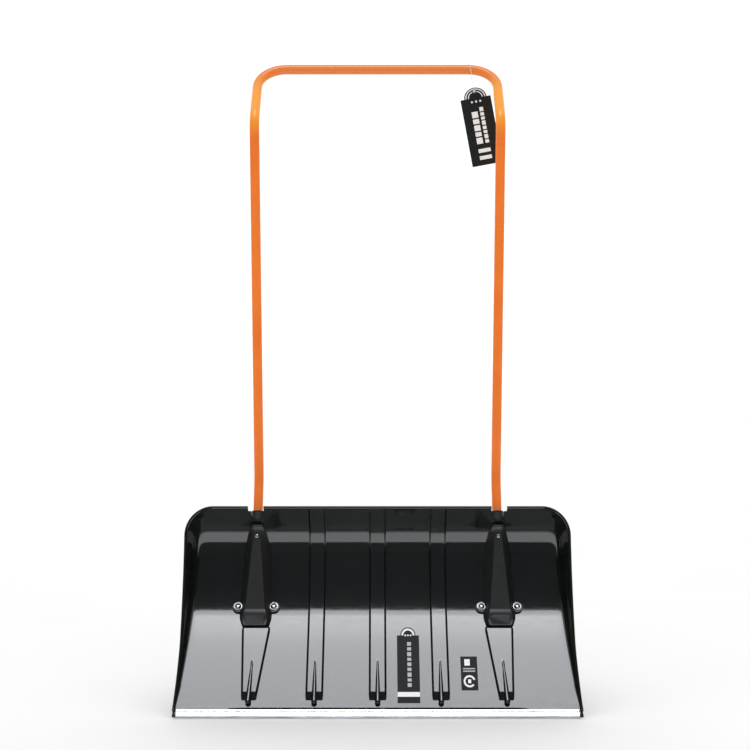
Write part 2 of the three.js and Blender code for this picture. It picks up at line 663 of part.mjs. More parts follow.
function makeFork(side) {
  const at = onFloor(side * LEG_X, 0, 0);
  const top = -SHEET - 2 * GAP;
  const plate = solid(placed(block([-51, 222, top - FORK_PLATE], [51, 272, top]), at));
  const down = Math.atan2(axleN - top, axleS - FORK_MIDDLE); // the way that the arms point
  const arc = Array.from({ length: 9 }, (_, k) => {
    const angle = down + rad(-80 + (160 * k) / 8);
    return [axleS + ARM_END * Math.cos(angle), axleN + ARM_END * Math.sin(angle)];
  });
  const outline = [[226, top - 1], ...arc, [272, top - 1]];
  const upright = new THREE.Matrix4().makeBasis(
    new THREE.Vector3(0, 1, 0), new THREE.Vector3(0, 0, 1), new THREE.Vector3(1, 0, 0),
  );
  let fork = plate;
  for (const x of [-FORK_GAP / 2 - FORK_PLATE, FORK_GAP / 2]) {
    const arm = prism(outline, FORK_PLATE, upright).translate(x, 0, 0);
    fork = fork.add(solid(placed(arm, at)));
  }
  const reach = FORK_GAP / 2 + 1;
  const brace = rod(FORK_BRACE.radius, -reach, reach, 12).rotateY(Math.PI / 2);
  brace.translate(0, FORK_BRACE.s, FORK_BRACE.n);
  fork = fork.add(solid(placed(brace, at)));
  fork = fork.subtract(solid(placed(rod(BOLT_HOLE, -40, 40), onAxle(side))));
  for (const dx of [-BOLT_X, BOLT_X]) {
    fork = fork.subtract(solid(placed(rod(BOLT_HOLE, -20, 5), onFloor(side * LEG_X + dx, BOLT_S, 0))));
  }
  return fork;
}

const armOuter = FORK_GAP / 2 + FORK_PLATE;

function makeAxleBolt(side) {
  const at = onAxle(side);
  const head = solid(placed(rod(HEX, -armOuter - GAP - 5.3, -armOuter - GAP, 6), at));
  return head.add(solid(placed(rod(AXLE_RADIUS, -armOuter - 2, armOuter + 11), at)));
}

function makeAxleNut(side) {
  const at = onAxle(side);
  const body = solid(placed(rod(HEX, armOuter + GAP, armOuter + GAP + 8, 6), at));
  return body.subtract(solid(placed(rod(AXLE_RADIUS + GAP, armOuter, armOuter + 12), at)));
}

function makeSleeve(side) {
  const half = FORK_GAP / 2 - GAP;
  return solid(placed(ring(SLEEVE_RADIUS, AXLE_RADIUS + 0.4, -half, half), onAxle(side)));
}

function makeTyre(side) {
  const [half, bore] = [TYRE_WIDTH / 2, HUB_RADIUS + GAP];
  const profile = [
    [bore, -half + 2], [bore + 5, -half], [WHEEL_RADIUS - 5, -half], [WHEEL_RADIUS - 1.6, -half + 2.6],
    [WHEEL_RADIUS, -half + 7], [WHEEL_RADIUS, half - 7], [WHEEL_RADIUS - 1.6, half - 2.6],
    [WHEEL_RADIUS - 5, half], [bore + 5, half], [bore, half - 2], [bore, -half + 2],
  ];
  return solid(placed(turned(profile, 26), onAxle(side)));
}

const BUSH = { outer: 9, flange: 12, bore: SLEEVE_RADIUS + 0.4, flangeThick: 1.2, length: 14 };

function makeHub(side) {
  const [half, web, boss, rimIn] = [HUB_WIDTH / 2, 5, 13, HUB_RADIUS - 4];
  const bore = BUSH.outer + GAP;
  const rimHalf = TYRE_WIDTH / 2 - 1.5;
  const profile = [
    [bore, -half], [boss, -half], [boss + 1.5, -web], [rimIn, -web], [rimIn, -rimHalf],
    [HUB_RADIUS, -rimHalf], [HUB_RADIUS, rimHalf], [rimIn, rimHalf], [rimIn, web],
    [boss + 1.5, web], [boss, half], [bore, half], [bore, -half],
  ];
  const body = solid(placed(turned(profile, 20), onAxle(side)));
  const openings = Array.from({ length: HUB_OPENING.count }, (_, k) => {
    const spot = new THREE.Matrix4().makeRotationZ((k * 2 * Math.PI) / HUB_OPENING.count);
    const hole = rod(HUB_OPENING.radius, -web - 2, web + 2, 8).translate(HUB_OPENING.at, 0, 0);
    return solid(placed(hole, onAxle(side).multiply(spot)));
  });
  return body.subtract(union(openings));
}

// A flanged bush pushed into one end of the hub. end is -1 or 1 along the axle.
function makeBush(side, end) {
  const face = HUB_WIDTH / 2 + GAP;
  const profile = [
    [BUSH.bore, face - BUSH.length], [BUSH.outer, face - BUSH.length], [BUSH.outer, face],
    [BUSH.flange, face], [BUSH.flange, face + BUSH.flangeThick],
    [BUSH.bore, face + BUSH.flangeThick], [BUSH.bore, face - BUSH.length],
  ];
  const flip = end < 0 ? new THREE.Matrix4().makeRotationX(Math.PI) : new THREE.Matrix4();
  return solid(placed(turned(profile, 12), onAxle(side).multiply(flip)));
}

// ---- The hang tag -------------------------------------------------------------------------------

// Local x across the card, local z up it from the middle of the top bar, tilted as it hangs.
const onTag = new THREE.Matrix4().makeRotationY(-TAG_TILT).setPosition(TAG_X, TOP_BAR.y, TOP_BAR.z);
const TAG_HOLE = -47;
const CARD = 0.8;

function makeTag() {
  const outline = archOutline(TAG_WIDTH / 2, TAG_TOP - TAG_HEIGHT, TAG_TOP, TAG_ARCH);
  const upright = new THREE.Matrix4().makeRotationX(Math.PI / 2);
  const card = prism(outline, CARD, upright).translate(0, CARD / 2, 0);
  const hole = rod(3.1, -2, 2).applyMatrix4(upright).translate(0, 0, TAG_HOLE);
  return solid(placed(card, onTag)).subtract(solid(placed(hole, onTag)));
}

function makeEyelet() {
  const inner = 2.2;
  const profile = [[inner, -0.9], [4.6, -0.9], [4.6, -CARD / 2 - 0.15], [2.8, -CARD / 2 - 0.15],
    [2.8, CARD / 2 + 0.15], [4.6, CARD / 2 + 0.15], [4.6, 0.9], [inner, 0.9], [inner, -0.9]];
  const eyelet = turned(profile, 10).rotateX(Math.PI / 2).translate(0, 0, TAG_HOLE);
  return solid(placed(eyelet, onTag));
}

// A nylon tie: round the top bar, and down through the eyelet.
function makeTagTie() {
  const wire = 0.8;
  const around = TUBE_RADIUS + wire + 1.6;
  const points = [];
  for (let k = 0; k <= 16; k++) {
    const angle = rad(-20 + (220 * k) / 16);
    points.push(new THREE.Vector3(0, around * Math.cos(angle), around * Math.sin(angle)));
  }
  for (let k = 0; k <= 4; k++) {
    const angle = rad(180 + (180 * k) / 4);
    points.push(new THREE.Vector3(0, 2.6 * Math.cos(angle), TAG_HOLE + 1.2 + 2.6 * Math.sin(angle)));
  }
  return solid(placed(bar(points, wire, 8, true), onTag));
}

// ---- Labels -------------------------------------------------------------------------------------

function archOutline(halfWidth, low, top, arch) {
  const steps = 10;
  const curve = Array.from({ length: steps + 1 }, (_, k) => {
    const angle = (Math.PI * k) / steps;
    return [arch.half * Math.cos(angle), top + arch.height * Math.sin(angle)];
  });
  return [[-halfWidth, low], [halfWidth, low], [halfWidth, top], ...curve, [-halfWidth, top]];
}

function makeTallLabel() {
  const { x, low, width, height } = TALL_LABEL;
  const outline = archOutline(width / 2, 0, height, { half: 15.5, height: 18 });
  const film = prism(outline, LABEL_FILM, new THREE.Matrix4()).translate(0, 0, GAP);
  return solid(placed(film, onFloor(x, low, 0)));
}

function makeSmallLabel() {
  const { x, low, width, height } = SMALL_LABEL;
  const film = block([-width / 2, 0, GAP], [width / 2, height, GAP + LABEL_FILM]);
  return solid(placed(film, onFloor(x, low, 0)));
}

// ---- Assembly -----------------------------------------------------------------------------------

addPart("scoop", makeScoop(), glossBlack);
addPart("cutting_edge", makeCuttingEdge(), aluminium);
for (let i = 0; i < EDGE_SCREWS; i++) addPart(`edge_screw_${i + 1}`, makeEdgeScrew(i), zinc);
addPart("handle_tube", makeHandle(), orangePaint);

for (const [word, side] of [["left", -1], ["right", 1]]) {
  addPart(`${word}_tube_collar`, makeCollar(side), mattBlack);
  addPart(`${word}_tube_end_plug`, makeEndPlug(side), greyPlastic);
  addPart(`${word}_tube_holder`, makeHolder(side), mattBlack);
  addPart(`${word}_tube_screw`, makeNeckScrew(side), zinc);
  addPart(`${word}_wheel_fork`, makeFork(side), zinc);
  for (const [end, dx] of [["a", -BOLT_X], ["b", BOLT_X]]) {
    const at = onFloor(side * LEG_X + dx, BOLT_S, 0);
    addPart(`${word}_holder_bolt_${end}`, makeHolderBolt(at), zinc);
    addPart(`${word}_holder_washer_${end}`, makeWasher(at), zinc);
    addPart(`${word}_holder_nut_${end}`, makeNut(at), zinc);
  }
  addPart(`${word}_axle_bolt`, makeAxleBolt(side), zinc);
  addPart(`${word}_axle_nut`, makeAxleNut(side), zinc);
  addPart(`${word}_axle_sleeve`, makeSleeve(side), zinc);
  addPart(`${word}_tyre`, makeTyre(side), rubber);
  addPart(`${word}_wheel_hub`, makeHub(side), greyPlastic);
  addPart(`${word}_hub_bush_a`, makeBush(side, -1), whitePlastic);
  addPart(`${word}_hub_bush_b`, makeBush(side, 1), whitePlastic);
}

addPart("hang_tag", makeTag(), blackCard);
addPart("tag_eyelet", makeEyelet(), zinc);
addPart("tag_tie", makeTagTie(), whitePlastic);
addPart("tall_label", makeTallLabel(), blackCard);
addPart("small_label", makeSmallLabel(), blackCard);

export default shovel;
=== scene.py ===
"""A wide wheeled snow shovel: the looks of each piece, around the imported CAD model.

Shapes are worked out in millimetres in the CAD model's frame: x to the right of someone who faces the
scoop's open side, y to the back, z up, and the origin under the middle of the cutting edge.
"""

import math

import bmesh
import bpy
import numpy as np
from mathutils import Matrix, Vector


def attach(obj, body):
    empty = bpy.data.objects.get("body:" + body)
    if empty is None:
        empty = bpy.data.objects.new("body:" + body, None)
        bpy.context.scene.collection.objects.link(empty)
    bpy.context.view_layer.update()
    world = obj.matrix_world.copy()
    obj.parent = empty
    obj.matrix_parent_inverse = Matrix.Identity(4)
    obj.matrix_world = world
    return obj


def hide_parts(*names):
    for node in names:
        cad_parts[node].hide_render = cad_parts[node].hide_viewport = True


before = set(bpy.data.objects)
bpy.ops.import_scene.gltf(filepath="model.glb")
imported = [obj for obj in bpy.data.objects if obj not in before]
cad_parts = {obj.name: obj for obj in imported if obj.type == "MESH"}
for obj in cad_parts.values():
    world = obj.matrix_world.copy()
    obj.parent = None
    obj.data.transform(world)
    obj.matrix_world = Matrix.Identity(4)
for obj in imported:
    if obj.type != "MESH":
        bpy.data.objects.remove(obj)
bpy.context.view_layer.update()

MM = 0.001

# ---- Driving dimensions, the same as the CAD model's ----

GAP = 0.3
FLOOR_ANGLE = math.radians(52)
LIP_Y = -3
FLOOR_TOP = 178
WALL_RADIUS = 224
HOOD_RADIUS = 72
HOOD_ANGLE = math.radians(128)
SCOOP_TOP = 405
SHEET = 3.2
TOP_HALF_WIDTH = 399
LIP_HALF_WIDTH = 407.1
FLARE_HEIGHT = 140
CORNER_RADIUS = 60
CORNER_START = SCOOP_TOP - CORNER_RADIUS
RIM_DEPTH = 135
RIM_BOW = 1.7
RIM_RADIUS = 3.3
SCOOP_FOOT = (7.5, 4, 9, 14)
SCOOP_EDGE = 400

RIB_X = 126
RIB_HALF = 14.5
RIB_SIDE = 3
RIB_HEIGHT = 5
RIB_FOOT = (31.5, 44)
BOSS_START = 29
BOSS_LENGTH = 106
BOSS_LOW = 5.6
BOSS_HIGH = 2
BOSS_N = 6
BOSS_SINK = 3.6
BOSS_LEG_X = 257
BOSS_LEG_LEAN = 4.7
LEG_RIB_HALF = (12.5, 25.5)
LEG_RIB_OUT = (3.6, -2.6)
LEG_RIB_Z = (38, 150)
LEG_RIB_END = 155.5

LEG_X = 252
TUBE_RADIUS = 10
TUBE_BEND = 60
TUBE_SLOPE = 0.33
TUBE_AT = (175, 334)
TUBE_END_Z = 232
LOWER_BEND_Z = 456
UPPER_BEND = (104, 1197)
TOP_BAR = (212, 1325)

EDGE_LENGTH = 793
EDGE_TOP_S = 20
EDGE_SEAT = 0.6
EDGE_SEAT_Z = (16, 18.2)
EDGE_SKIN = 1.7
EDGE_SCREWS = 7
EDGE_SCREW_S = 14.5

BOLT_S = 244
BOLT_X = 37
BOLT_POCKET = 10.5
BOLT_HOLE = 4.5
BOLT_RADIUS = 3.9
EAR_TOP = 5.4
EAR_RADIUS = 12
HEX = 7.5
WASHER = (8.8, 4.3, 1.6)

FORK_PLATE = 3
FORK_GAP = 42
ARM_END = 13
AXLE = (215, 55.2)
WHEEL_RADIUS = 55
TYRE_WIDTH = 30
HUB_RADIUS = 41
HUB_WIDTH = 37.4
SLEEVE_RADIUS = 6

TAG_WIDTH = 65
TAG_HEIGHT = 144
TAG_TILT = math.radians(10.5)
TAG_X = 197
TAG_TOP = -61
TAG_ARCH = (24, 22)
TAG_HOLE = -47
CARD = 0.8

SIDES = (("left", -1), ("right", 1))

# ---- Materials ----

# The heights in metres between which the tube's colour changes: a painted highlight, lighter and yellower, on
# the grip stretch, and a slightly darker painted shade on the top bar.
GRIP_HIGHLIGHT_FADE = (1.16, 1.21)
BAR_SHADE_FADE = (1.27, 1.315)


class Shader:
    """A material's node tree, with short calls for the nodes that this scene uses."""

    def __init__(self, name, color, roughness, metallic=0.0, coat=0.0):
        self.material = bpy.data.materials.new(name)
        self.material.use_nodes = True
        self.tree = self.material.node_tree
        self.surface = self.tree.nodes["Principled BSDF"]
        self.to("Base Color", color)
        self.to("Roughness", roughness)
        self.to("Metallic", metallic)
        self.to("Coat Weight", coat)
        self.to("Coat Roughness", 0.05)
        self.place = self.tree.nodes.new("ShaderNodeTexCoord").outputs["Object"]

    def feed(self, socket, value):
        """Links another node's output to a socket, or sets a plain value there."""
        if isinstance(value, bpy.types.NodeSocket):
            self.tree.links.new(value, socket)
        else:
            socket.default_value = (*value, 1) if socket.type == "RGBA" else value

    def node(self, kind, **inputs):
        made = self.tree.nodes.new(kind)
        for name, value in inputs.items():
            self.feed(made.inputs[name.replace("_", " ")], value)
        return made

    def stretched(self, scale):
        return self.node("ShaderNodeMapping", Vector=self.place, Scale=scale).outputs["Vector"]

    def noise(self, scale, detail=3.0, stretch=(1, 1, 1)):
        made = self.node("ShaderNodeTexNoise", Vector=self.stretched(stretch), Scale=scale, Detail=detail)
        return made.outputs["Fac"]

    def spread(self, value, low, high, start=0.3, end=0.7):
        ends = {"From_Min": start, "From_Max": end, "To_Min": low, "To_Max": high}
        return self.node("ShaderNodeMapRange", Value=value, **ends).outputs["Result"]

    def mix(self, factor, first, second):
        made = self.tree.nodes.new("ShaderNodeMix")
        made.data_type = "RGBA"
        for index, value in ((0, factor), (6, first), (7, second)):
            self.feed(made.inputs[index], value)
        return made.outputs[2]

    def to(self, socket, value):
        self.feed(self.surface.inputs[socket], value)
        return self

    def tint(self, pattern, first, second):
        return self.to("Base Color", self.mix(self.spread(pattern, 0, 1), first, second))

    def gloss(self, pattern, low, high):
        return self.to("Roughness", self.spread(pattern, low, high))

    def bump(self, height, strength, distance):
        made = self.node("ShaderNodeBump", Height=height, Strength=strength, Distance=distance)
        return self.to("Normal", made.outputs["Normal"])


def scaled(color, share):
    return tuple(c * share for c in color)


def moulded_gloss():
    """Glossy black plastic, with a very slight unevenness and fine handling marks."""
    shader = Shader("gloss_black_plastic", (0.006, 0.007, 0.007), 0.1, coat=0.2)
    shader.tint(shader.noise(9), (0.005, 0.006, 0.006), (0.007, 0.008, 0.008))
    shader.gloss(shader.noise(160, 6, (0.25, 1, 1)), 0.07, 0.14)
    return shader.bump(shader.noise(14, 1), 0.04, 0.0004).material


def textured_black(name, color, roughness):
    """Black plastic from a spark-eroded mould: a fine even grain."""
    shader = Shader(name, color, roughness)
    shader.tint(shader.noise(35), scaled(color, 0.8), color)
    grain = shader.noise(2600, 2)
    shader.gloss(grain, roughness - 0.06, roughness + 0.06)
    return shader.bump(grain, 0.25, 0.0002).material


def powder_coat():
    """Orange powder coat on steel tube, with its fine orange peel. Its colour also holds painted light by
    height: a lighter yellow-orange painted highlight on the grip stretch and a slightly darker painted shade
    on the top bar.
    """
    shader = Shader("orange_powder_coat", (0.8, 0.17, 0.02), 0.3, coat=0.1)
    shader.to("Specular IOR Level", 0.3)
    tone = shader.spread(shader.noise(14), 0, 1)
    lower = shader.mix(tone, (0.8, 0.16, 0.014), (0.87, 0.2, 0.02))
    # Painted light by height: a lighter yellow-orange painted highlight between the grip fade heights, and a
    # darker painted shade on the top bar above the bar fade heights.
    height = shader.node("ShaderNodeSeparateXYZ", Vector=shader.place).outputs["Z"]
    grip_highlight = shader.mix(shader.spread(height, 0, 1, *GRIP_HIGHLIGHT_FADE), lower, (0.88, 0.32, 0.018))
    bar_shade_share = shader.spread(height, 0, 1, *BAR_SHADE_FADE)
    shader.to("Base Color", shader.mix(bar_shade_share, grip_highlight, (0.76, 0.2, 0.035)))
    shader.gloss(shader.noise(220), 0.26, 0.36)
    return shader.bump(shader.noise(900, 2), 0.12, 0.0002).material


def brushed(name, color, roughness, along):
    """Metal with fine lines along one axis."""
    shader = Shader(name, color, roughness, metallic=1)
    stretch = tuple(0.012 if axis == along else 1 for axis in range(3))
    lines = shader.noise(1500, 4, stretch)
    shader.tint(lines, scaled(color, 0.86), color)
    shader.gloss(lines, roughness - 0.07, roughness + 0.09)
    return shader.bump(lines, 0.1, 0.0001).material


def zinc_plate(name, color, roughness):
    """Zinc on small steel pieces: slightly cloudy."""
    shader = Shader(name, color, roughness, metallic=1)
    cloud = shader.noise(400, 4)
    shader.tint(cloud, scaled(color, 0.8), color)
    shader.gloss(cloud, roughness - 0.05, roughness + 0.08)
    return shader.bump(shader.noise(1800, 2), 0.08, 0.0001).material


def rubber(name, color, roughness):
    """Black rubber with a dusty bloom and a pitted skin."""
    shader = Shader(name, color, roughness)
    shader.tint(shader.noise(60, 5), color, scaled(color, 1.7))
    shader.gloss(shader.noise(300), roughness - 0.08, roughness + 0.08)
    return shader.bump(shader.noise(1500, 3), 0.3, 0.0003).material


def nylon(name, color, alpha=1.0):
    """Natural nylon, a little translucent at its skin."""
    shader = Shader(name, color, 0.35)
    shader.to("Subsurface Weight", 0.2)
    shader.to("Subsurface Scale", 0.002)
    shader.to("Alpha", alpha)
    shader.tint(shader.noise(120), scaled(color, 0.92), color)
    return shader.bump(shader.noise(900), 0.1, 0.0002).material


def printed(name, color, roughness, specular=0.5):
    """Printed card or film: faint fibres under a satin coat."""
    shader = Shader(name, color, roughness)
    shader.to("Specular IOR Level", specular)
    fibres = shader.noise(700, 5, (1, 1, 0.15))
    shader.tint(fibres, scaled(color, 0.85), color)
    shader.gloss(fibres, roughness - 0.05, roughness + 0.07)
    return shader.bump(fibres, 0.08, 0.0001).material


GLOSS = moulded_gloss()
TEXTURED = textured_black("textured_black_plastic", (0.017, 0.0172, 0.018), 0.36)
COLLAR = rubber("collar_rubber", (0.02, 0.02, 0.021), 0.36)
ORANGE = powder_coat()
ALUMINIUM = brushed("brushed_aluminium", (0.9, 0.91, 0.92), 0.24, 0)
ZINC = zinc_plate("zinc_plate", (0.78, 0.79, 0.8), 0.24)
BOLT_ZINC = zinc_plate("dark_zinc_plate", (0.3, 0.3, 0.31), 0.15)
WASHER_ZINC = zinc_plate("dull_zinc_plate", (0.16, 0.16, 0.165), 0.2)
TYRE = rubber("tyre_rubber", (0.016, 0.016, 0.016), 0.8)
HUB = textured_black("grey_hub_plastic", (0.075, 0.08, 0.085), 0.45)
NYLON = nylon("natural_nylon", (0.72, 0.71, 0.66))
CLEAR = nylon("clear_nylon", (0.9, 0.91, 0.92), 0.35)
CARD_BLACK = printed("black_card", (0.012, 0.012, 0.013), 0.34)
FILM_BLACK = printed("black_film", (0.01, 0.011, 0.014), 0.5, 0.14)
INK_WHITE = printed("white_ink", (0.86, 0.86, 0.86), 0.45)
INK_GREY = printed("grey_ink", (0.5, 0.51, 0.55), 0.5, 0.14)

# ---- Shapes ----
# A shape is a list of points in millimetres and a list of faces.


def shift(x, y, z):
    return Matrix.Translation((x, y, z))


def spin(angle, axis):
    return Matrix.Rotation(angle, 4, axis)


def circle(count):
    """Angles evenly round a circle."""
    return [2 * math.pi * k / count for k in range(count)]


def moved(shape, matrix):
    points, faces = shape
    return [tuple(matrix @ Vector(p)) for p in points], faces


def joined(*shapes):
    points, faces = [], []
    for own_points, own_faces in shapes:
        start = len(points)
        points.extend(own_points)
        faces.extend([tuple(start + i for i in face) for face in own_faces])
    return points, faces


def loft(rings, closed=False):
    """Rings with the same number of points, joined in order. Open ends get caps."""
    count = len(rings[0])
    points = [p for ring in rings for p in ring]
    faces = []
    for i in range(len(rings) if closed else len(rings) - 1):
        here, there = i * count, ((i + 1) % len(rings)) * count
        for j in range(count):
            k = (j + 1) % count
            faces.append((here + j, here + k, there + k, there + j))
    if not closed:
        faces.append(tuple(range(count - 1, -1, -1)))
        last = (len(rings) - 1) * count
        faces.append(tuple(last + j for j in range(count)))
    return points, faces


def turned(profile, sides=64):
    """A closed profile of (radius, height) points turned about z. Points on the axis close it."""
    on_axis = profile[0][0] == 0
    rings = []
    for radius, height in profile:
        if radius:
            rings.append([(radius * math.cos(a), radius * math.sin(a), height) for a in circle(sides)])
    return loft(rings, closed=not on_axis)


def rod(radius, low, high, sides=48, chamfer=0.0):
    """A round bar along z."""
    if not chamfer:
        return turned([(0, low), (radius, low), (radius, high), (0, high)], sides)
    inner = radius - chamfer
    lower = [(0, low), (inner, low), (radius, low + chamfer)]
    upper = [(radius, high - chamfer), (inner, high), (0, high)]
    return turned(lower + upper, sides)


def bar(x, y, width, height):
    """The outline of a rectangle from its lower left corner."""
    return [(x, y), (x + width, y), (x + width, y + height), (x, y + height)]


def rounded_profile(corners, radius, steps=4):
    """A closed outline with each corner rounded. A corner is (a, b) or (a, b, its own radius)."""
    points = []
    count = len(corners)
    for i in range(count):
        corner = Vector(corners[i][:2])
        own = corners[i][2] if len(corners[i]) > 2 else radius
        back = Vector(corners[i - 1][:2]) - corner
        ahead = Vector(corners[(i + 1) % count][:2]) - corner
        half = back.angle(ahead) / 2
        cut = min(own / math.tan(half), back.length * 0.48, ahead.length * 0.48)
        if cut < 1e-3:
            points.append(tuple(corner))
            continue
        start = corner + back.normalized() * cut
        end = corner + ahead.normalized() * cut
        for k in range(steps + 1):
            t = k / steps
            points.append(tuple(start.lerp(corner, t).lerp(corner.lerp(end, t), t)))
    return points


def plate(outline, low, high, bevel=0.5):
    """An outline of (a, b) points as a prism from low to high, with its edges bevelled."""
    count = len(outline)
    flat = [Vector(p) for p in outline]
    area = sum(flat[i - 1].x * flat[i].y - flat[i].x * flat[i - 1].y for i in range(count))
    turn = 1 if area > 0 else -1
    inner = []
    for i in range(count):
        along = (flat[(i + 1) % count] - flat[i - 1]).normalized()
        inner.append(flat[i] + Vector((-along.y, along.x)) * bevel * turn)
    rings = []
    for source, height in ((inner, low), (flat, low + bevel), (flat, high - bevel), (inner, high)):
        rings.append([(p.x, p.y, height) for p in source])
    return loft(rings)


def box_shape(low, high):
    outline = bar(low[0], low[1], high[0] - low[0], high[1] - low[1])
    return plate(outline, low[2], high[2], 0.01)


def sweep(path, radius, sides=32, closed=False):
    """A round bar along a list of points."""
    count = len(path)
    rings = []
    normal = Vector((0, 0, 1))
    for i, point in enumerate(path):
        before = path[(i - 1) % count] if closed else path[max(i - 1, 0)]
        after = path[(i + 1) % count] if closed else path[min(i + 1, count - 1)]
        tangent = (after - before).normalized()
        if i == 0 and abs(tangent.z) > 0.9:
            normal = Vector((0, 1, 0))
        normal = (normal - tangent * normal.dot(tangent)).normalized()
        across = tangent.cross(normal)
        spokes = [math.cos(a) * normal + math.sin(a) * across for a in circle(sides)]
        rings.append([tuple(point + radius * spoke) for spoke in spokes])
    return loft(rings, closed)


def bent_path(corners, radius, steps=14):
    """A path through corners, with each inner corner rounded to a radius."""
    path = [corners[0]]
    for before, corner, after in zip(corners, corners[1:], corners[2:]):
        back = (before - corner).normalized()
        ahead = (after - corner).normalized()
        half = back.angle(ahead) / 2
        centre = corner + (back + ahead).normalized() * radius / math.sin(half)
        start = corner + back * radius / math.tan(half) - centre
        axis = -back.cross(ahead).normalized()
        turn = math.pi - 2 * half
        for k in range(steps + 1):
            path.append(Matrix.Rotation(turn * k / steps, 3, axis) @ start + centre)
    path.append(corners[-1])
    return path


# ---- Objects ----


def new_object(name, data):
    made = bpy.data.objects.new(name, data)
    bpy.context.scene.collection.objects.link(made)
    return made


def mesh_object(name, shape):
    points, faces = shape
    mesh = bpy.data.meshes.new(name)
    mesh.from_pydata([tuple(c * MM for c in p) for p in points], [], faces)
    work = bmesh.new()
    work.from_mesh(mesh)
    bmesh.ops.remove_doubles(work, verts=work.verts, dist=1e-7)
    bmesh.ops.recalc_face_normals(work, faces=work.faces)
    work.to_mesh(mesh)
    work.free()
    return new_object(name, mesh)


def apply_modifiers(piece):
    evaluated = piece.evaluated_get(bpy.context.evaluated_depsgraph_get())
    mesh = bpy.data.meshes.new_from_object(evaluated)
    piece.modifiers.clear()
    piece.data = mesh


def cut(piece, shapes, operation="DIFFERENCE"):
    """Cuts closed shapes out of a piece, or adds them to it."""
    for shape in shapes:
        tool = mesh_object("tool", shape)
        modifier = piece.modifiers.new("cut", "BOOLEAN")
        modifier.operation = operation
        modifier.solver = "MANIFOLD"
        modifier.object = tool
        apply_modifiers(piece)
        bpy.data.objects.remove(tool)


def soften(piece, width, angle=40, segments=3):
    """Rounds the sharp edges of a piece."""
    modifier = piece.modifiers.new("round", "BEVEL")
    modifier.width = width * MM
    modifier.segments = segments
    modifier.limit_method = "ANGLE"
    modifier.angle_limit = math.radians(angle)
    modifier.harden_normals = False
    apply_modifiers(piece)


def set_material(mesh, material):
    mesh.materials.clear()
    mesh.materials.append(material)


def finish(piece, material, body, slot, *nodes, sharp=32):
    mesh = piece.data
    set_material(mesh, material)
    mesh.shade_smooth()
    mesh.set_sharp_from_angle(angle=math.radians(sharp))
    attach(piece, body)
    if nodes:
        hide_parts(*nodes)
    return piece


def add(name, shape, material, body, slot, *nodes, sharp=32):
    return finish(mesh_object(name, shape), material, body, slot, *nodes, sharp=sharp)


# ---- Frames of reference ----

COS_FLOOR, SIN_FLOOR = math.cos(FLOOR_ANGLE), math.sin(FLOOR_ANGLE)


def on_floor(x, s, n):
    """Local x across, y up along the scoop's flat floor and z out of it."""
    place = (x, LIP_Y + s * COS_FLOOR - n * SIN_FLOOR, s * SIN_FLOOR + n * COS_FLOOR)
    turn = Matrix(((1, 0, 0), (0, COS_FLOOR, -SIN_FLOOR), (0, SIN_FLOOR, COS_FLOOR)))
    return Matrix.Translation(place) @ turn.to_4x4()


def tube_y(z):
    return TUBE_AT[0] + (z - TUBE_AT[1]) * TUBE_SLOPE


def on_tube(side, z):
    """Local z up along the handle's lower stretch."""
    place = shift(side * LEG_X, tube_y(z), z)
    return place @ spin(-math.atan(TUBE_SLOPE), "X")


def bolt_places(side):
    """Where a holder's two bolts go through the floor."""
    return [on_floor(side * LEG_X + dx, BOLT_S, 0) for dx in (-BOLT_X, BOLT_X)]


def on_axle(side):
    """Local z along the axle, to the right."""
    return shift(side * LEG_X, *AXLE) @ spin(math.pi / 2, "Y")


# ---- The scoop ----

FLOOR_END = (LIP_Y + FLOOR_TOP / math.tan(FLOOR_ANGLE), FLOOR_TOP)
WALL_END = (FLOOR_END[0] + WALL_RADIUS * (1 - SIN_FLOOR), FLOOR_END[1] + WALL_RADIUS * COS_FLOOR)
HOOD_START = (
    WALL_END[0] + HOOD_RADIUS * (math.sin(HOOD_ANGLE) - 1),
    WALL_END[1] - HOOD_RADIUS * math.cos(HOOD_ANGLE),
)


def face_y(z):
    """How far back the scoop's inner face is at height z, away from the ribs."""
    if z <= FLOOR_END[1]:
        return LIP_Y + z / math.tan(FLOOR_ANGLE)
    if z <= WALL_END[1]:
        angle = math.acos(COS_FLOOR - (z - FLOOR_END[1]) / WALL_RADIUS)
        return FLOOR_END[0] + WALL_RADIUS * (math.sin(angle) - SIN_FLOOR)
    if z <= HOOD_START[1]:
        angle = math.acos(-(z - WALL_END[1]) / HOOD_RADIUS)
        return WALL_END[0] + HOOD_RADIUS * (math.sin(angle) - 1)
    return HOOD_START[0] + (z - HOOD_START[1]) / math.tan(HOOD_ANGLE)


def rim_y(z):
    bowed = RIM_DEPTH * (1 - (1 - min(z, SCOOP_TOP) / SCOOP_TOP) ** RIM_BOW)
    return min(bowed, face_y(z) - 2)


def half_width(z, inset):
    flare = max(0, 1 - z / FLARE_HEIGHT) ** 1.5 * (LIP_HALF_WIDTH - TOP_HALF_WIDTH)
    up = max(0, z - CORNER_START)
    radius = CORNER_RADIUS - inset
    return TOP_HALF_WIDTH + flare - CORNER_RADIUS + math.sqrt(max(radius**2 - up**2, 0))


def smooth_line(value, start, end):
    return min(max((value - start) / (end - start), 0), 1)


def smooth(value, start, end):
    t = smooth_line(value, start, end)
    return t * t * (3 - 2 * t)


RIBS = (-LEG_X, -RIB_X, 0, RIB_X, LEG_X)
RIB_EDGE = (-1.35, -1.1, -0.85, -0.65, -0.45, -0.25, -0.05, 0.2, 0.5, 1)  # in widths of a rib's side


def rib_at(centre, z):
    """A rib's half width and its middle at height z."""
    if abs(centre) != LEG_X:
        return RIB_HALF, centre
    share = smooth_line(z, *LEG_RIB_Z)
    half = LEG_RIB_HALF[0] + share * (LEG_RIB_HALF[1] - LEG_RIB_HALF[0])
    out = LEG_RIB_OUT[0] + share * (LEG_RIB_OUT[1] - LEG_RIB_OUT[0])
    return half, math.copysign(LEG_X + out, centre)


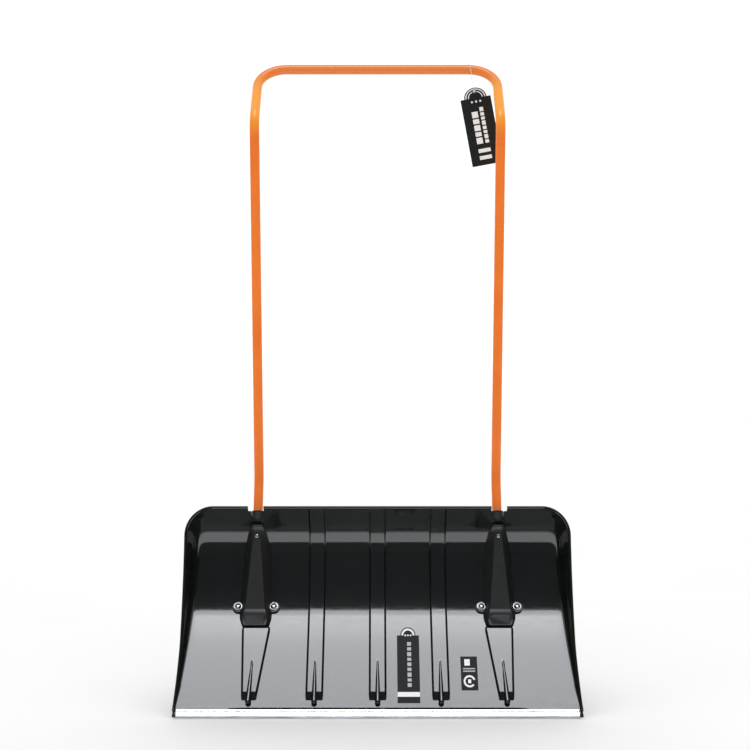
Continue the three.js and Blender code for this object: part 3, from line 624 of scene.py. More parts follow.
def rib_lift(centre, x, z):
    """How far a rib stands out of the floor at x."""
    half, middle = rib_at(centre, z)
    lift = RIB_HEIGHT * smooth(half + RIB_SIDE - abs(x - middle), 0, 1.15 * RIB_SIDE)
    lift *= smooth(z, *RIB_FOOT)
    if abs(centre) == LEG_X:
        lift *= 1 - smooth(z, LEG_RIB_END - 1, LEG_RIB_END + 2.5)
    return lift


def row_columns(z):
    """The x of each column between the cheeks, with the rib that it belongs to."""
    groups = []
    for centre in RIBS:
        half, middle = rib_at(centre, z)
        left = [-half + RIB_SIDE * e for e in RIB_EDGE]
        inner = [left[-1] * k / 4 for k in (3, 2, 1)]
        offsets = left + inner + [0] + [-v for v in reversed(left + inner)]
        groups.append([(middle + v, centre) for v in offsets])
    filled = list(groups[0])
    for group in groups[1:]:
        start, end = filled[-1][0], group[0][0]
        filled += [(start + (end - start) * k / 7, None) for k in range(1, 7)]
        filled += group
    return filled


def boss(centre):
    """A tapered bar with a round end on a rib's foot, which sinks into the rib at its thin end."""
    low, high, length, n, sink = BOSS_LOW, BOSS_HIGH, BOSS_LENGTH, BOSS_N, BOSS_SINK
    leg = abs(centre) == LEG_X
    x = math.copysign(BOSS_LEG_X, centre) if leg else centre
    lean = math.copysign(math.atan(BOSS_LEG_LEAN / length), centre) if leg else 0
    rings = []
    profile = [(low * math.sin(a), low * (1 - math.cos(a))) for a in np.radians([4, 20, 36, 52, 68, 84])]
    for share in np.linspace(0, 1, 24):
        profile.append((low + share * (high - low), low + share * (length - low)))
    for radius, along in profile:
        rings.append([(radius * math.cos(a), along, radius * math.sin(a)) for a in circle(28)])
    turn = spin(lean, "Z") @ spin(-math.atan(sink / length), "X")
    return moved(loft(rings), on_floor(x, BOSS_START, n) @ turn)


def cheek_points(z, side):
    """From where the floor starts to turn up, over the fillet, to the rim."""
    depth = face_y(z) - rim_y(z)
    top = half_width(z, RIM_RADIUS + SHEET / 2)
    base = top - min(0.5 + 15 * (z / 330) ** 1.7, depth)
    fillet = min(4 + 0.045 * z, depth * 0.6)
    corner = Vector((base, face_y(z)))
    rim = Vector((top, rim_y(z)))
    start = Vector((base - fillet, face_y(z)))
    end = corner.lerp(rim, fillet / (rim - corner).length)
    points = []
    first = row_columns(z)[-1][0]
    for k in range(1, 9):
        points.append(Vector((first, face_y(z))).lerp(start, k / 9))
    for k in range(11):
        t = k / 10
        points.append(start.lerp(corner, t).lerp(corner.lerp(end, t), t))
    for k in range(1, 8):
        points.append(end.lerp(rim, k / 7))
    return [(side * p.x, p.y, z) for p in points]


def scoop_heights():
    """The height of each row. The second is below the first, so the sheet's foot folds over itself."""
    reach = CORNER_RADIUS - RIM_RADIUS - SHEET / 2
    turn = math.asin((SCOOP_EDGE - CORNER_START) / reach)
    corner = [CORNER_START + reach * math.sin(turn * k / 22) for k in range(1, 23)]
    parts = [
        SCOOP_FOOT,
        np.linspace(*EDGE_SEAT_Z, 5),
        [19.5, 22, 26, 30],
        np.arange(31, 50, 1.0),
        np.linspace(50, 148, 30),
        np.arange(149, 160, 0.7),
        np.linspace(160.5, FLOOR_TOP, 8),
        np.linspace(FLOOR_TOP, WALL_END[1], 46)[1:],
        np.linspace(WALL_END[1], CORNER_START, 20)[1:],
        np.array(corner),
    ]
    return [float(z) for z in np.concatenate(parts)]


def grid_normals(grid):
    """The unit normal at each point, toward the scoop's open side."""
    across = np.gradient(grid, axis=1)
    upward = np.gradient(grid, axis=0)
    normals = np.cross(upward, across)
    normals /= np.linalg.norm(normals, axis=2, keepdims=True)
    if normals[..., 1].mean() > 0:
        normals = -normals
    return normals


def scoop_sheet():
    """The moulded sheet as a closed shape: its front, its back and the edge between them."""
    base, lifts = [], []
    for z in scoop_heights():
        left = list(reversed(cheek_points(z, -1)))
        right = cheek_points(z, 1)
        middle = row_columns(z)
        base.append(left + [(x, face_y(z), z) for x, _ in middle] + right)
        ribs = [0 if c is None else rib_lift(c, x, z) for x, c in middle]
        pad = [0] * len(left)
        seat = EDGE_SEAT * (smooth_line(z, *EDGE_SEAT_Z) - 1)
        lifts.append(pad + [lift + seat for lift in ribs] + pad)
    grid = np.array(base)
    normals = grid_normals(grid)
    front = grid + normals * np.array(lifts)[..., None]
    back = grid + normals * (np.array(lifts)[..., None] - SHEET)
    rows, columns = grid.shape[:2]
    count = rows * columns
    points = [tuple(p) for p in front.reshape(-1, 3)] + [tuple(p) for p in back.reshape(-1, 3)]
    faces = []
    for i in range(rows - 1):
        for j in range(columns - 1):
            a = i * columns + j
            face = (a, a + 1, a + columns + 1, a + columns)
            faces.append(face)
            faces.append(tuple(count + v for v in reversed(face)))
    border = list(range(columns))
    border += [i * columns + columns - 1 for i in range(1, rows)]
    border += [(rows - 1) * columns + j for j in range(columns - 2, -1, -1)]
    border += [i * columns for i in range(rows - 2, 0, -1)]
    for a, b in zip(border, border[1:] + border[:1]):
        faces.append((a, a + count, b + count, b))
    return points, faces


def rim_bead():
    """The rounded edge round the cheeks and the hood."""
    tuck = 4.2
    heights = list(np.linspace(14, CORNER_START, 40))
    reach = CORNER_RADIUS - RIM_RADIUS
    heights += [CORNER_START + reach * math.sin(k * math.pi / 36) for k in range(1, 19)]
    right = []
    for z in heights:
        up = max(0, z - CORNER_START) / CORNER_RADIUS
        right.append(Vector((half_width(z, RIM_RADIUS), rim_y(z) + tuck * up**2, z)))
    left = [Vector((-p.x, p.y, p.z)) for p in reversed(right)]
    return sweep(right + left, RIM_RADIUS, 16)


def scoop_cuts():
    """The slots and notches for the handle, and the holes for the holders' bolts."""
    slot_radius, notch_half, notch_z = 15.5, 16, 394
    inner_half, inner_z = 10.5, 386.5
    front, back = 100, 220
    cuts = []
    for _, side in SIDES:
        cuts.append(moved(rod(slot_radius, -12, 110), on_tube(side, TUBE_AT[1])))
        x = side * LEG_X
        for half, low, high in ((notch_half, notch_z, SCOOP_TOP + 10), (inner_half, inner_z, notch_z + 1)):
            cuts.append(box_shape((x - half, front, low), (x + half, back, high)))
        level = shift(x, 0, inner_z) @ spin(-math.pi / 2, "X")
        cuts.append(moved(rod(inner_half, front, back), level))
        cuts += [moved(rod(BOLT_HOLE, -10, 10), at) for at in bolt_places(side)]
    return cuts


def make_scoop():
    scoop = mesh_object("scoop_moulding", scoop_sheet())
    cut(scoop, [rim_bead()] + [boss(centre) for centre in RIBS], "UNION")
    cut(scoop, scoop_cuts())
    finish(scoop, GLOSS, "shovel", "scoop_plastic", "scoop", sharp=50)


# ---- The cutting edge ----


def make_cutting_edge():
    front, back = GAP + EDGE_SKIN, -SHEET - GAP - EDGE_SKIN
    bead, slot = 1.2, 9

    def foot(n):
        return -n * COS_FLOOR / SIN_FLOOR

    section = [
        (foot(0.4), 0.4, 0.2),
        (1.2, front - 0.6, 0.3),
        (6.5, front, 0.3),
        (EDGE_TOP_S - 7.6, front, 0.3),
        (EDGE_TOP_S - 7, front - 0.9, 0.3),
        (EDGE_TOP_S - 5.4, front - 0.9, 0.3),
        (EDGE_TOP_S - 4.9, front + bead * 0.6, 0.4),
        (EDGE_TOP_S - 3.7, front + bead, 1),
        (EDGE_TOP_S - 1, front + bead, 0.8),
        (EDGE_TOP_S, front + bead * 0.4, 0.3),
        (EDGE_TOP_S, GAP, 0.2),
        (slot, GAP, 0.2),
        (slot, -SHEET - GAP, 0.2),
        (EDGE_TOP_S, -SHEET - GAP, 0.2),
        (EDGE_TOP_S, back, 0.5),
        (foot(back), back, 0.3),
    ]
    outline = rounded_profile(section, 0.3, 3)
    half = EDGE_LENGTH / 2
    rings = [[(x, s, n) for s, n in outline] for x in np.linspace(-half, half, 5)]
    add("edge_strip", moved(loft(rings), on_floor(0, 0, 0)), ALUMINIUM, "shovel", "edge_aluminium",
        "cutting_edge", sharp=25)


def pan_head(radius, height, shank, length):
    """A pan-head screw along z: its head stands up from z = 0, and its shank goes down."""
    profile = [(0, -length), (shank * 0.5, -length), (shank, -length + 1.5), (shank, 0), (radius, 0)]
    for k in range(7):
        angle = math.radians(90 * k / 6)
        profile.append((radius - height * 0.55 * (1 - math.cos(angle)), height * math.sin(angle)))
    profile[-1] = (radius - height * 0.55, height)
    profile.append((0, height + 0.15))
    return turned(profile, 40)


def screw_object(name, radius, height, shank, length, matrix, node):
    """A pan-head screw with a cross recess."""
    made = mesh_object(name, moved(pan_head(radius, height, shank, length), matrix))
    arm, width = radius * 0.62, radius * 0.14
    bars = []
    for a, b in ((arm, width), (width, arm)):
        shape = plate(bar(-a, -b, 2 * a, 2 * b), height * 0.45, height + 1, 0.05)
        bars.append(moved(shape, matrix))
    cut(made, bars)
    finish(made, ZINC, "shovel", "zinc", node)


def make_edge_screws():
    skin = -SHEET - 2 * GAP - EDGE_SKIN
    end_margin, turn_step = 20, 0.7
    reach = EDGE_LENGTH / 2 - end_margin
    for i in range(EDGE_SCREWS):
        x = -reach + 2 * reach * i / (EDGE_SCREWS - 1)
        place = on_floor(x, EDGE_SCREW_S, skin) @ spin(math.pi, "X")
        place = place @ spin(turn_step * i, "Z")
        screw_object(f"strip_screw_{i + 1}", 3.9, 2.2, 1.8, 4.8, place, f"edge_screw_{i + 1}")


# ---- The handle ----


def make_handle():
    def leg(side):
        return [
            Vector((side * LEG_X, tube_y(TUBE_END_Z), TUBE_END_Z)),
            Vector((side * LEG_X, tube_y(LOWER_BEND_Z), LOWER_BEND_Z)),
            Vector((side * LEG_X, *UPPER_BEND)),
            Vector((side * LEG_X, *TOP_BAR)),
        ]

    path = bent_path(leg(-1) + leg(1)[::-1], TUBE_BEND)
    add("handle", sweep(path, TUBE_RADIUS, 48), ORANGE, "shovel", "handle_paint", "handle_tube")


def make_collar(side, word):
    low, high = 22, 57
    outer, bore, lip = 14.9, TUBE_RADIUS + 0.6, 1.6
    grooves, first, pitch = 3, high - 13, 3.6
    corners = [(bore, low), (outer - 1.2, low), (outer, low + 1.5)]
    for k in range(grooves):
        z = first + pitch * k
        corners += [(outer, z), (outer - 0.9, z + 0.8), (outer - 0.9, z + 1.6), (outer, z + 2.4)]
    corners += [(outer, high - lip), (outer - lip, high), (bore, high)]
    profile = rounded_profile(corners, 0.5, 3)
    add(f"{word}_collar", moved(turned(profile, 56), on_tube(side, TUBE_AT[1])), COLLAR, "shovel",
        "collar_rubber", f"{word}_tube_collar")


# ---- The tube holders ----

FACET_LOW = (117, 196)
FACET_SLOPE = 0.3
NECK_SCREW_Z = 340


def facet_y(z):
    return FACET_LOW[0] + (z - FACET_LOW[1]) * FACET_SLOPE


# At each height: half the width at the scoop, half the front facet's width, and the facet's y. The
# body's facet lies on one slope.
HOLDER_NOSE = ((160, 22, 19, 115), (164, 28, 23, 110), (174, 32.5, 25.5, 108), (187, 33.5, 24, 111))
HOLDER_BODY = (
    (196, 33.5, 20.5), (214, 32.5, 18.9), (232, 31.2, 17.2), (250, 30, 15.6), (268, 28.8, 13.9),
    (286, 27.8, 12.3), (302, 27, 10.8), (316, 25.5, 9.6), (327, 22.8, 8.6), (340, 19.6, 7.6),
)
HOLDER_NECK = ((350, 16.3, 6.8, facet_y(348)), (357, 13.5, 6.2, 162), (364, 10.5, 5.5, 157.5))
HOLDER_SECTIONS = list(HOLDER_NOSE) + [(z, base, facet, facet_y(z)) for z, base, facet in HOLDER_BODY]
HOLDER_SECTIONS += HOLDER_NECK


def holder_ring(z):
    """The holder's outline at height z, with its long edges rounded."""
    heights, *sizes = zip(*HOLDER_SECTIONS)
    base, facet, y = [float(np.interp(z, heights, size)) for size in sizes]
    back = face_y(z) - GAP - 0.2
    shoulder = max(face_y(z) - 4, y + 1)
    corners = [
        (-base, back, 0.2), (-base, shoulder, 1.2), (-facet, y, 1.4),
        (facet, y, 1.4), (base, shoulder, 1.2), (base, back, 0.2),
    ]
    return [(x, depth, z) for x, depth in rounded_profile(corners, 1, 4)]


def behind_face():
    """Everything behind the scoop's inner face, near one holder's ears."""
    low, high, back, half = 150, 222, 260, 70
    heights = np.linspace(low, high, 25)
    outline = [(face_y(z) - GAP - 0.2, z) for z in heights] + [(back, high), (back, low)]
    rings = [[(x, y, z) for y, z in outline] for x in (-half, half)]
    return loft(rings)


NOSE_Z = (165, 184)
NOSE_HALF = (19.5, 22)
NOSE_FACE = (109.6, 110.1)
NOSE_RECESS = 0.9


def nose_recess():
    """The shallow rounded panel pressed into the holder's nose."""
    (low, high), (narrow, wide) = NOSE_Z, NOSE_HALF
    outline = rounded_profile([(-narrow, low), (narrow, low), (wide, high), (-wide, high)], 5, 6)
    middle = (low + high) / 2
    rings = []
    for depth, share in ((-6, 1.12), (NOSE_RECESS, 0.93)):
        y_low, y_high = (face + depth for face in NOSE_FACE)
        slope = (y_high - y_low) / (high - low)
        ring = []
        for x, z in outline:
            ring.append((x * share, y_low + (z - low) * slope, middle + (z - middle) * share))
        rings.append(ring)
    return loft(rings)


HOLDER_ROWS = [160, 160.8, 162, 164, 168, 174, 180, 187, 193, 195.4, *np.arange(197, 316, 7.0)]
HOLDER_ROWS += [316, 320, 324, 327, 331, 335, 340, 344, 348, 350, 352, 354.5, 357, 359, 361, 363, 364]


def make_holder(side, word):
    at_leg = shift(side * LEG_X, 0, 0)
    holder = mesh_object(f"{word}_holder", moved(loft([holder_ring(z) for z in HOLDER_ROWS]), at_leg))
    foot, web_reach, chamfer = -3, 12, 0.8
    pockets, ears, holes = [], [], []
    for web_start, at in zip((0, -web_reach), bolt_places(side)):
        pockets.append(moved(rod(BOLT_POCKET, EAR_TOP, 80, 56), at))
        ears.append(moved(rod(EAR_RADIUS, foot, EAR_TOP, 56, chamfer), at))
        web = bar(web_start, -EAR_RADIUS, web_reach, 2 * EAR_RADIUS)
        ears.append(moved(plate(web, foot, EAR_TOP, chamfer), at))
        holes.append(moved(rod(BOLT_HOLE, -12, 14), at))
    cut(holder, pockets)
    cut(holder, ears, "UNION")
    cut(holder, [moved(behind_face(), at_leg)] + holes)
    cut(holder, [moved(nose_recess(), at_leg)])
    cut(holder, [moved(rod(TUBE_RADIUS + 0.8, -30, 160, 56), on_tube(side, TUBE_END_Z))])
    soften(holder, 0.5, 40, 2)
    finish(holder, TEXTURED, "shovel", "holder_plastic", f"{word}_tube_holder", sharp=38)


def make_tube_screw(side, word):
    turn = spin(math.pi / 2 - math.atan(FACET_SLOPE), "X")
    place = shift(side * LEG_X, facet_y(NECK_SCREW_Z), NECK_SCREW_Z) @ turn
    place = place @ shift(0, 0, GAP)
    screw_object(f"{word}_neck_screw", 4, 2.3, 1.8, 9.5, place, f"{word}_tube_screw")


# ---- Bolts, nuts and washers ----


SOCKET = 3.1
BUTTON_RADIUS = 6.5


def button_head():
    """The round head of a holder bolt, along z."""
    side, crown = 0.7, 3.8
    profile = [(0, 0), (BUTTON_RADIUS - 0.2, 0), (BUTTON_RADIUS, 0.2)]
    for angle in np.radians(range(0, 90, 8)):
        profile.append((BUTTON_RADIUS * math.cos(angle), side + crown * math.sin(angle)))
    profile.append((0, side + crown))
    return moved(turned(profile, 56), shift(0, 0, BOLT_HEAD))


def hexagon(low, high, corner=HEX, sides=72):
    """A hexagonal head with chamfered corners, along z."""
    flat = corner * math.cos(math.pi / 6)
    chamfer = 0.9

    def reach(angle):
        return flat / math.cos((angle + math.pi / 6) % (math.pi / 3) - math.pi / 6)

    rings = []
    for height, whole in ((low, False), (low + chamfer, True), (high - chamfer, True), (high, False)):
        ring = []
        for angle in circle(sides):
            radius = reach(angle) if whole else min(reach(angle), flat * 0.97)
            ring.append((radius * math.cos(angle), radius * math.sin(angle), height))
        rings.append(ring)
    return loft(rings)


def thread(low, high, pitch=1.25, depth=0.55):
    """A threaded stretch of shank, as one ring for each crest and root."""
    root = BOLT_RADIUS - depth
    profile = [(0, low), (root, low)]
    for k in range(int((high - low) / pitch)):
        z = low + 0.3 + k * pitch
        profile += [(root, z), (BOLT_RADIUS, z + pitch * 0.4), (BOLT_RADIUS, z + pitch * 0.55)]
    profile += [(root, high), (0, high)]
    return turned(profile, 36)


def washer_shape(low):
    outer, bore, thick = WASHER
    corners = [(bore, low), (outer, low), (outer, low + thick), (bore, low + thick)]
    return turned(rounded_profile(corners, 0.35, 3), 64)


def nut_object(name, low, high, matrix, node):
    made = mesh_object(name, moved(hexagon(low, high), matrix))
    cut(made, [moved(rod(BOLT_RADIUS + GAP, low - 2, high + 2), matrix)])
    soften(made, 0.25, 50, 1)
    finish(made, ZINC, "shovel", "zinc", node, sharp=28)


EAR_WASHER = EAR_TOP + GAP
BOLT_HEAD = EAR_WASHER + WASHER[2] + GAP
NUT_TOP = -SHEET - FORK_PLATE - 3 * GAP


def make_holder_bolts(side, word):
    for end, turn, at in zip("ab", (0.3, 0.8), bolt_places(side)):
        spun = at @ spin(turn, "Z")
        shank = rod(BOLT_RADIUS, NUT_TOP + 1, BOLT_HEAD + 1)
        tip = thread(NUT_TOP - 10, NUT_TOP + 1)
        bolt = mesh_object(f"{word}_bolt_{end}", moved(joined(button_head(), shank, tip), spun))
        drilled = turned([(0, BOLT_HEAD - 1), (2.7, BOLT_HEAD + 1.7), (0, BOLT_HEAD + 1.7)], 24)
        cut(bolt, [moved(hexagon(BOLT_HEAD + 1.6, BOLT_HEAD + 8, SOCKET, 24), spun), moved(drilled, spun)])
        finish(bolt, BOLT_ZINC, "shovel", "zinc", f"{word}_holder_bolt_{end}", sharp=28)
        washer = moved(washer_shape(EAR_WASHER), at)
        add(f"{word}_washer_{end}", washer, WASHER_ZINC, "shovel", "zinc", f"{word}_holder_washer_{end}")
        nut_object(f"{word}_nut_{end}", NUT_TOP - 6.5, NUT_TOP, at, f"{word}_holder_nut_{end}")


# ---- Forks and wheels ----

ARM_OUTER = FORK_GAP / 2 + FORK_PLATE
FORK_HALF = 51
FORK_S = (222, 272)
ARM_START = 226
FORK_MIDDLE = 249
FORK_BRACE = (222, -55)
BRACE_RADIUS = 6


def make_fork(side, word):
    at = on_floor(side * LEG_X, 0, 0)
    top = -SHEET - 2 * GAP
    axle = on_floor(0, 0, 0).inverted() @ Vector((0, *AXLE))
    down = math.atan2(axle.z - top, axle.y - FORK_MIDDLE)
    low, high = FORK_S
    outline = rounded_profile(bar(-FORK_HALF, low, 2 * FORK_HALF, high - low), 8, 6)
    fork = mesh_object(f"{word}_fork", moved(plate(outline, top - FORK_PLATE, top, 0.4), at))
    arms = []
    for x in (-ARM_OUTER, FORK_GAP / 2):
        arc = []
        for k in range(17):
            angle = down + math.radians(-80 + 160 * k / 16)
            arc.append((axle.y + ARM_END * math.cos(angle), axle.z + ARM_END * math.sin(angle)))
        arm = plate([(ARM_START, top - 1)] + arc + [(high, top - 1)], x, x + FORK_PLATE, 0.4)
        turn = Matrix(((0, 0, 1), (1, 0, 0), (0, 1, 0))).to_4x4()
        arms.append(moved(moved(arm, turn), at))
    brace = rod(BRACE_RADIUS, -FORK_GAP / 2 - 1, FORK_GAP / 2 + 1)
    spot = shift(0, *FORK_BRACE) @ spin(math.pi / 2, "Y")
    arms.append(moved(brace, at @ spot))
    cut(fork, arms, "UNION")
    holes = [moved(rod(BOLT_HOLE, -40, 40), on_axle(side))]
    holes += [moved(rod(BOLT_HOLE, -20, 5), place) for place in bolt_places(side)]
    cut(fork, holes)
    finish(fork, ZINC, "shovel", "zinc", f"{word}_wheel_fork", sharp=28)


def make_axle(side, word):
    at = on_axle(side)
    low = -ARM_OUTER - GAP
    head = joined(hexagon(low - 5.3, low), rod(5.6, low - 5.35, low - 5, 40, 0.1))
    shank = rod(BOLT_RADIUS, low - 1, ARM_OUTER + 1)
    tip = thread(ARM_OUTER + 0.5, ARM_OUTER + 11)
    bolt = moved(joined(head, shank, tip), at)
    add(f"{word}_axle", bolt, ZINC, "shovel", "zinc", f"{word}_axle_bolt", sharp=28)
    nut_object(f"{word}_axle_hex_nut", ARM_OUTER + GAP, ARM_OUTER + GAP + 8, at, f"{word}_axle_nut")


def tyre_shape():
    """A solid tyre: rounded shoulders, and a groove each side of the middle."""
    half, bore = TYRE_WIDTH / 2, HUB_RADIUS + GAP
    tread, groove = WHEEL_RADIUS, WHEEL_RADIUS - 1.6
    corners = [(bore, -half + 1.5), (bore + 4, -half), (tread - 5, -half, 2)]
    corners += [(tread - 1, -half + 3.5, 3), (tread, -half + 8, 2)]
    for middle in (-4, 4):
        corners += [(tread, middle - 1.4), (groove, middle - 0.8)]
        corners += [(groove, middle + 0.8), (tread, middle + 1.4)]
    corners += [(tread, half - 8, 2), (tread - 1, half - 3.5, 3), (tread - 5, half, 2)]
    corners += [(bore + 4, half), (bore, half - 1.5)]
    return turned(rounded_profile(corners, 0.5, 3), 96)


def hub_profile():
    half, web, boss, rim = HUB_WIDTH / 2, 5, 13, HUB_RADIUS - 4
    bore, edge = 9 + GAP, TYRE_WIDTH / 2 - 1.5
    corners = [
        (bore, -half), (boss, -half, 0.8), (boss + 1.5, -web, 2), (rim, -web, 2), (rim, -edge),
        (HUB_RADIUS, -edge), (HUB_RADIUS, edge),
        (rim, edge), (rim, web, 2), (boss + 1.5, web, 2), (boss, half, 0.8), (bore, half),
    ]
    return rounded_profile(corners, 0.5, 3)


HUB_OPENINGS = 5
OPENING_RADIUS = 6
OPENING_AT = 27


def make_wheel(side, word):
    at = on_axle(side)
    body = f"{word}_wheel"
    tyre = moved(tyre_shape(), at)
    add(f"{word}_tyre_tread", tyre, TYRE, body, "tyre_rubber", f"{word}_tyre", sharp=40)
    hub = mesh_object(f"{word}_hub", moved(turned(hub_profile(), 80), at))
    openings = []
    for angle in circle(HUB_OPENINGS):
        spot = spin(angle, "Z") @ shift(OPENING_AT, 0, 0)
        openings.append(moved(rod(OPENING_RADIUS, -7, 7, 32), at @ spot))
    cut(hub, openings)
    soften(hub, 0.5, 45, 2)
    finish(hub, HUB, body, "hub_plastic", f"{word}_wheel_hub", sharp=40)
    for end, flip in (("a", math.pi), ("b", 0)):
        face = HUB_WIDTH / 2 + GAP
        inner_end, outer_end = face - 14, face + 1.2
        bore, outer, flange = SLEEVE_RADIUS + 0.4, 9, 12
        corners = [(bore, inner_end), (outer, inner_end), (outer, face)]
        corners += [(flange, face), (flange, outer_end), (bore, outer_end)]
        shape = turned(rounded_profile(corners, 0.3, 2), 56)
        place = at @ spin(flip, "X")
        add(f"{word}_bush_{end}", moved(shape, place), NYLON, body, "bush_plastic", f"{word}_hub_bush_{end}")


# ---- The hang tag ----

ON_TAG = shift(TAG_X, *TOP_BAR) @ spin(-TAG_TILT, "Y")
AT_TAG_HOLE = ON_TAG @ shift(0, 0, TAG_HOLE)
UPRIGHT = spin(math.pi / 2, "X")  # local x and y become x and z, and z becomes the front


def flat_print(name, outlines, matrix, low, high, material, body, slot):
    """Thin printed shapes on a flat surface, from outlines in its plane."""
    shapes = [plate(outline, low, high, 0.01) for outline in outlines]
    add(name, moved(joined(*shapes), matrix), material, body, slot)


def curve(half, height, y, angles):
    """Points on an ellipse round (0, y)."""
    return [(half * math.cos(a), y + height * math.sin(a)) for a in angles]


def arch(size, y, share=1):
    """An arch that stands at height y, from its right foot to its left."""
    half, height = (share * length for length in size)
    return curve(half, height, y, [math.pi * k / 24 for k in range(25)])


def arch_band(size, y, outer, inner):
    """A band between two arches."""
    return arch(size, y, outer) + arch(size, y, inner)[::-1]


def dot(x, y, radius):
    return [(x + px, py) for px, py in curve(radius, radius, y, np.radians(range(0, 360, 30)))]


def make_tag():
    half, low = TAG_WIDTH / 2, TAG_TOP - TAG_HEIGHT
    corners = [(-half, low), (half, low), (half, TAG_TOP), *arch(TAG_ARCH, TAG_TOP), (-half, TAG_TOP)]
    tag = mesh_object("card_tag", moved(plate(corners, -CARD / 2, CARD / 2, 0.06), ON_TAG @ UPRIGHT))
    cut(tag, [moved(moved(rod(3.1, -2, 2), UPRIGHT), AT_TAG_HOLE)])
    finish(tag, CARD_BLACK, "tag", "tag_card", "hang_tag")


def blocks(x, low, high, width, lengths, gap):
    """A column of blocks of these lengths, repeated from low to high."""
    made, y, k = [], low, 0
    while y + lengths[k % len(lengths)] <= high:
        length = lengths[k % len(lengths)]
        made.append(bar(x, y, width, length))
        y += length + gap
        k += 1
    return made


def make_tag_print():
    """A generic print: two arched bands, three dots, and plain blocks."""
    skin, proud = CARD / 2, CARD / 2 + 0.12
    place = ON_TAG @ UPRIGHT
    low = TAG_TOP - TAG_HEIGHT
    print_shapes = [arch_band(TAG_ARCH, TAG_TOP, *shares) for shares in ((0.9, 0.8), (0.66, 0.58))]
    print_shapes += [dot(x, TAG_TOP - 8, 2.2) for x in (-9, 0, 9)]
    print_shapes += blocks(-14, low + 46, TAG_TOP - 20, 13, (13, 9, 12, 10), 3)
    print_shapes += blocks(4, low + 46, TAG_TOP - 14, 8, (7, 9, 6), 2.4)
    print_shapes += [bar(-14, low + 12, 26, 8), bar(-14, low + 27, 26, 8)]
    for sign, name in ((1, "front"), (-1, "back")):
        flip = spin(0 if sign > 0 else math.pi, "Y")
        flat_print(f"tag_print_{name}", print_shapes, place @ flip, skin, proud, INK_WHITE, "tag", "tag_card")


def make_tag_eyelet_and_tie():
    bore, neck, flange = 2.2, 2.8, 4.6
    skin, thick = CARD / 2 + 0.15, 0.9
    corners = [(bore, -thick), (flange, -thick), (flange, -skin), (neck, -skin)]
    corners += [(neck, skin), (flange, skin), (flange, thick), (bore, thick)]
    eyelet = moved(turned(rounded_profile(corners, 0.2, 2), 40), UPRIGHT)
    add("tag_ring", moved(eyelet, AT_TAG_HOLE), ZINC, "tag", "zinc", "tag_eyelet")
    wire = 0.8
    around, through = TUBE_RADIUS + wire + 1.6, 2.6
    over_bar = curve(around, around, 0, [math.radians(-20 + 220 * k / 32) for k in range(33)])
    in_hole = curve(through, through, TAG_HOLE + 1.2, [math.radians(180 + 180 * k / 12) for k in range(13)])
    path = [Vector((0, y, z)) for y, z in over_bar + in_hole]
    add("tag_loop", moved(sweep(path, wire, 16, closed=True), ON_TAG), CLEAR, "tag", "tie_nylon", "tag_tie")


# ---- Labels ----

# For each label: its middle's x, its foot's place up the floor, its width and its height.
LABELS = {"tall": (62, 34, 45, 147), "small": (184, 61, 33.5, 73)}
LABEL_ARCH = (15.5, 18)
LABEL_FILM = 0.4


def label_outline(word):
    width, height = LABELS[word][2:]
    half = width / 2
    if word == "small":
        return rounded_profile(bar(-half, 0, width, height), 1, 3)
    return [(-half, 0), (half, 0), (half, height), *arch(LABEL_ARCH, height), (-half, height)]


def make_labels():
    """The labels' film, with generic prints of bars, blocks, dots and rings."""
    for word, (x, low, _, _) in LABELS.items():
        shape = moved(plate(label_outline(word), GAP, GAP + LABEL_FILM, 0.05), on_floor(x, low, 0))
        add(f"{word}_floor_label", shape, FILM_BLACK, "shovel", "label_film", f"{word}_label")
    skin, proud = GAP + LABEL_FILM - 0.02, GAP + LABEL_FILM + 0.1
    x, low, width, height = LABELS["tall"]
    place = on_floor(x, low, 0)
    white = [bar(-width / 2 + 0.3, 13, width - 0.6, 10), arch_band(LABEL_ARCH, height, 0.86, 0.62)]
    white += [dot(dx, height, 1.9) for dx in (-5.5, 0, 5.5)]
    flat_print("tall_label_stripe", white, place, skin, proud, INK_WHITE, "shovel", "label_film")
    lines = blocks(-2, 34, 138, 8, (8, 6.5, 9, 7), 3.6)
    flat_print("tall_label_bars", lines, place, skin, proud, INK_GREY, "shovel", "label_film")
    place = on_floor(*LABELS["small"][:2], 0)
    ring = curve(12, 13, 19, np.linspace(0.3, 5.6, 30)) + curve(8.4, 9, 19, np.linspace(5.6, 0.3, 30))
    marks = [bar(-9, 53, 11, 14), bar(-3, 15, 6, 8)]
    flat_print("small_label_marks", [ring] + marks, place, skin, proud, INK_WHITE, "shovel", "label_film")
    fine = [bar(-12, 45, 24, 2.6), bar(-12, 39.5, 24, 2.6)]
    flat_print("small_label_lines", fine, place, skin, proud, INK_GREY, "shovel", "label_film")


# ---- Studio ----

CAMERA = (-0.0053, -2.6, 0.676)
LENS = 63.5
FLAG_Y = -8.7
FLAG_HALF = 9
FLAG_TOP = 14.9
FLAG_FRONT = -0.6
FLAG_LOW = 0.02
SIDE_FLAG_X = 2.6
WORLD_STRENGTH = 1.12
LIGHT_COLOR = (0.93, 0.955, 1)

# For each light: its place, the height it looks at, its width, its depth and its radiance.
LIGHTS = {
    "softbox": ((0, -5.6, 15), 0, 9, 6, 7),
    "softbox_band": ((0, -6, 14.9), 0, 9, 1.6, 4),
    "low_card": ((0, -0.31, 0.03), 1, 2.4, 0.56, 1.7),
}


def make_camera():
    data = bpy.data.cameras.new("camera")
    data.lens = LENS
    data.sensor_width = 36
    camera = new_object("camera", data)
    camera.location = CAMERA
    camera.rotation_euler = (math.pi / 2, 0, 0)
    bpy.context.scene.camera = camera


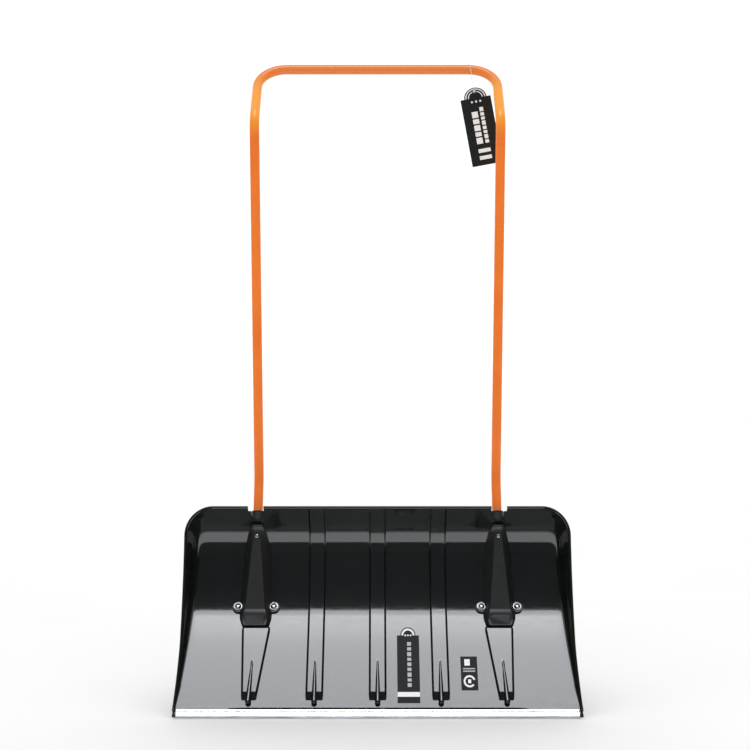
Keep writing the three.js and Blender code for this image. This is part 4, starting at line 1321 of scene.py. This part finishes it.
def area_light(name, place, aim, width, height, radiance):
    data = bpy.data.lights.new(name, "AREA")
    data.shape = "RECTANGLE"
    data.size, data.size_y = width, height
    data.energy = radiance * math.pi * width * height
    data.color = LIGHT_COLOR
    lamp = new_object(name, data)
    lamp.location = place
    lamp.rotation_euler = (Vector(aim) - Vector(place)).to_track_quat("-Z", "Y").to_euler()
    return lamp


def make_floor():
    half = 20000
    floor = mesh_object("studio_floor", plate(bar(-half, -half, 2 * half, 2 * half), -12, -0.02, 0.01))
    shader = Shader("studio_white", (0.9, 0.9, 0.9), 0.7)
    shader.tint(shader.noise(2), (0.89, 0.89, 0.89), (0.91, 0.91, 0.91))
    floor.data.materials.append(shader.material)


def reflection_only(thing):
    thing.visible_camera = False
    thing.visible_diffuse = False
    thing.visible_shadow = False
    thing.visible_transmission = False


def make_flags():
    """Dark panels in front of the scoop that only show in reflections, as in a product studio."""
    grey = Shader("studio_grey", (0.1, 0.125, 0.125), 1.0).material
    black = Shader("studio_dark", (0.004, 0.0045, 0.0045), 1.0).material
    width = 2 * FLAG_HALF
    upright = [(x, FLAG_Y, z) for x, z in bar(-FLAG_HALF, FLAG_LOW, width, FLAG_TOP)]
    level = [(x, y, FLAG_LOW) for x, y in bar(-FLAG_HALF, FLAG_Y, width, FLAG_FRONT - FLAG_Y)]
    side = bar(-3.5, FLAG_LOW, 5, 3)
    left, right = [[(x, y, z) for y, z in side] for x in (-SIDE_FLAG_X, SIDE_FLAG_X)]
    flags = (("upright_flag", upright, grey), ("level_flag", level, grey))
    flags += (("left_flag", left, black), ("right_flag", right, black))
    for name, corners, material in flags:
        flag = mesh_object(name, ([tuple(c / MM for c in p) for p in corners], [(0, 1, 2, 3)]))
        flag.data.materials.append(material)
        reflection_only(flag)


def make_light():
    world = bpy.data.worlds.new("studio")
    world.use_nodes = True
    background = world.node_tree.nodes["Background"]
    background.inputs["Color"].default_value = (1, 1, 1, 1)
    background.inputs["Strength"].default_value = WORLD_STRENGTH
    scene = bpy.context.scene
    scene.world = world
    for name, (place, aim_z, *size) in LIGHTS.items():
        reflection_only(area_light(name, place, (*place[:2], aim_z), *size))
    scene.view_settings.view_transform = "Standard"
    scene.view_settings.look = "None"


# ---- Assembly ----


def refinish_hidden_nodes():
    """The CAD nodes that stay: the tubes' end plugs and the axle sleeves."""
    for word, _ in SIDES:
        for node, material in ((f"{word}_tube_end_plug", HUB), (f"{word}_axle_sleeve", ZINC)):
            set_material(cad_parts[node].data, material)


make_camera()
make_floor()
make_flags()
make_light()
make_scoop()
make_cutting_edge()
make_edge_screws()
make_handle()
for word, side in SIDES:
    make_collar(side, word)
    make_holder(side, word)
    make_tube_screw(side, word)
    make_holder_bolts(side, word)
    make_fork(side, word)
    make_axle(side, word)
    make_wheel(side, word)
make_tag()
make_tag_print()
make_tag_eyelet_and_tie()
make_labels()
refinish_hidden_nodes()
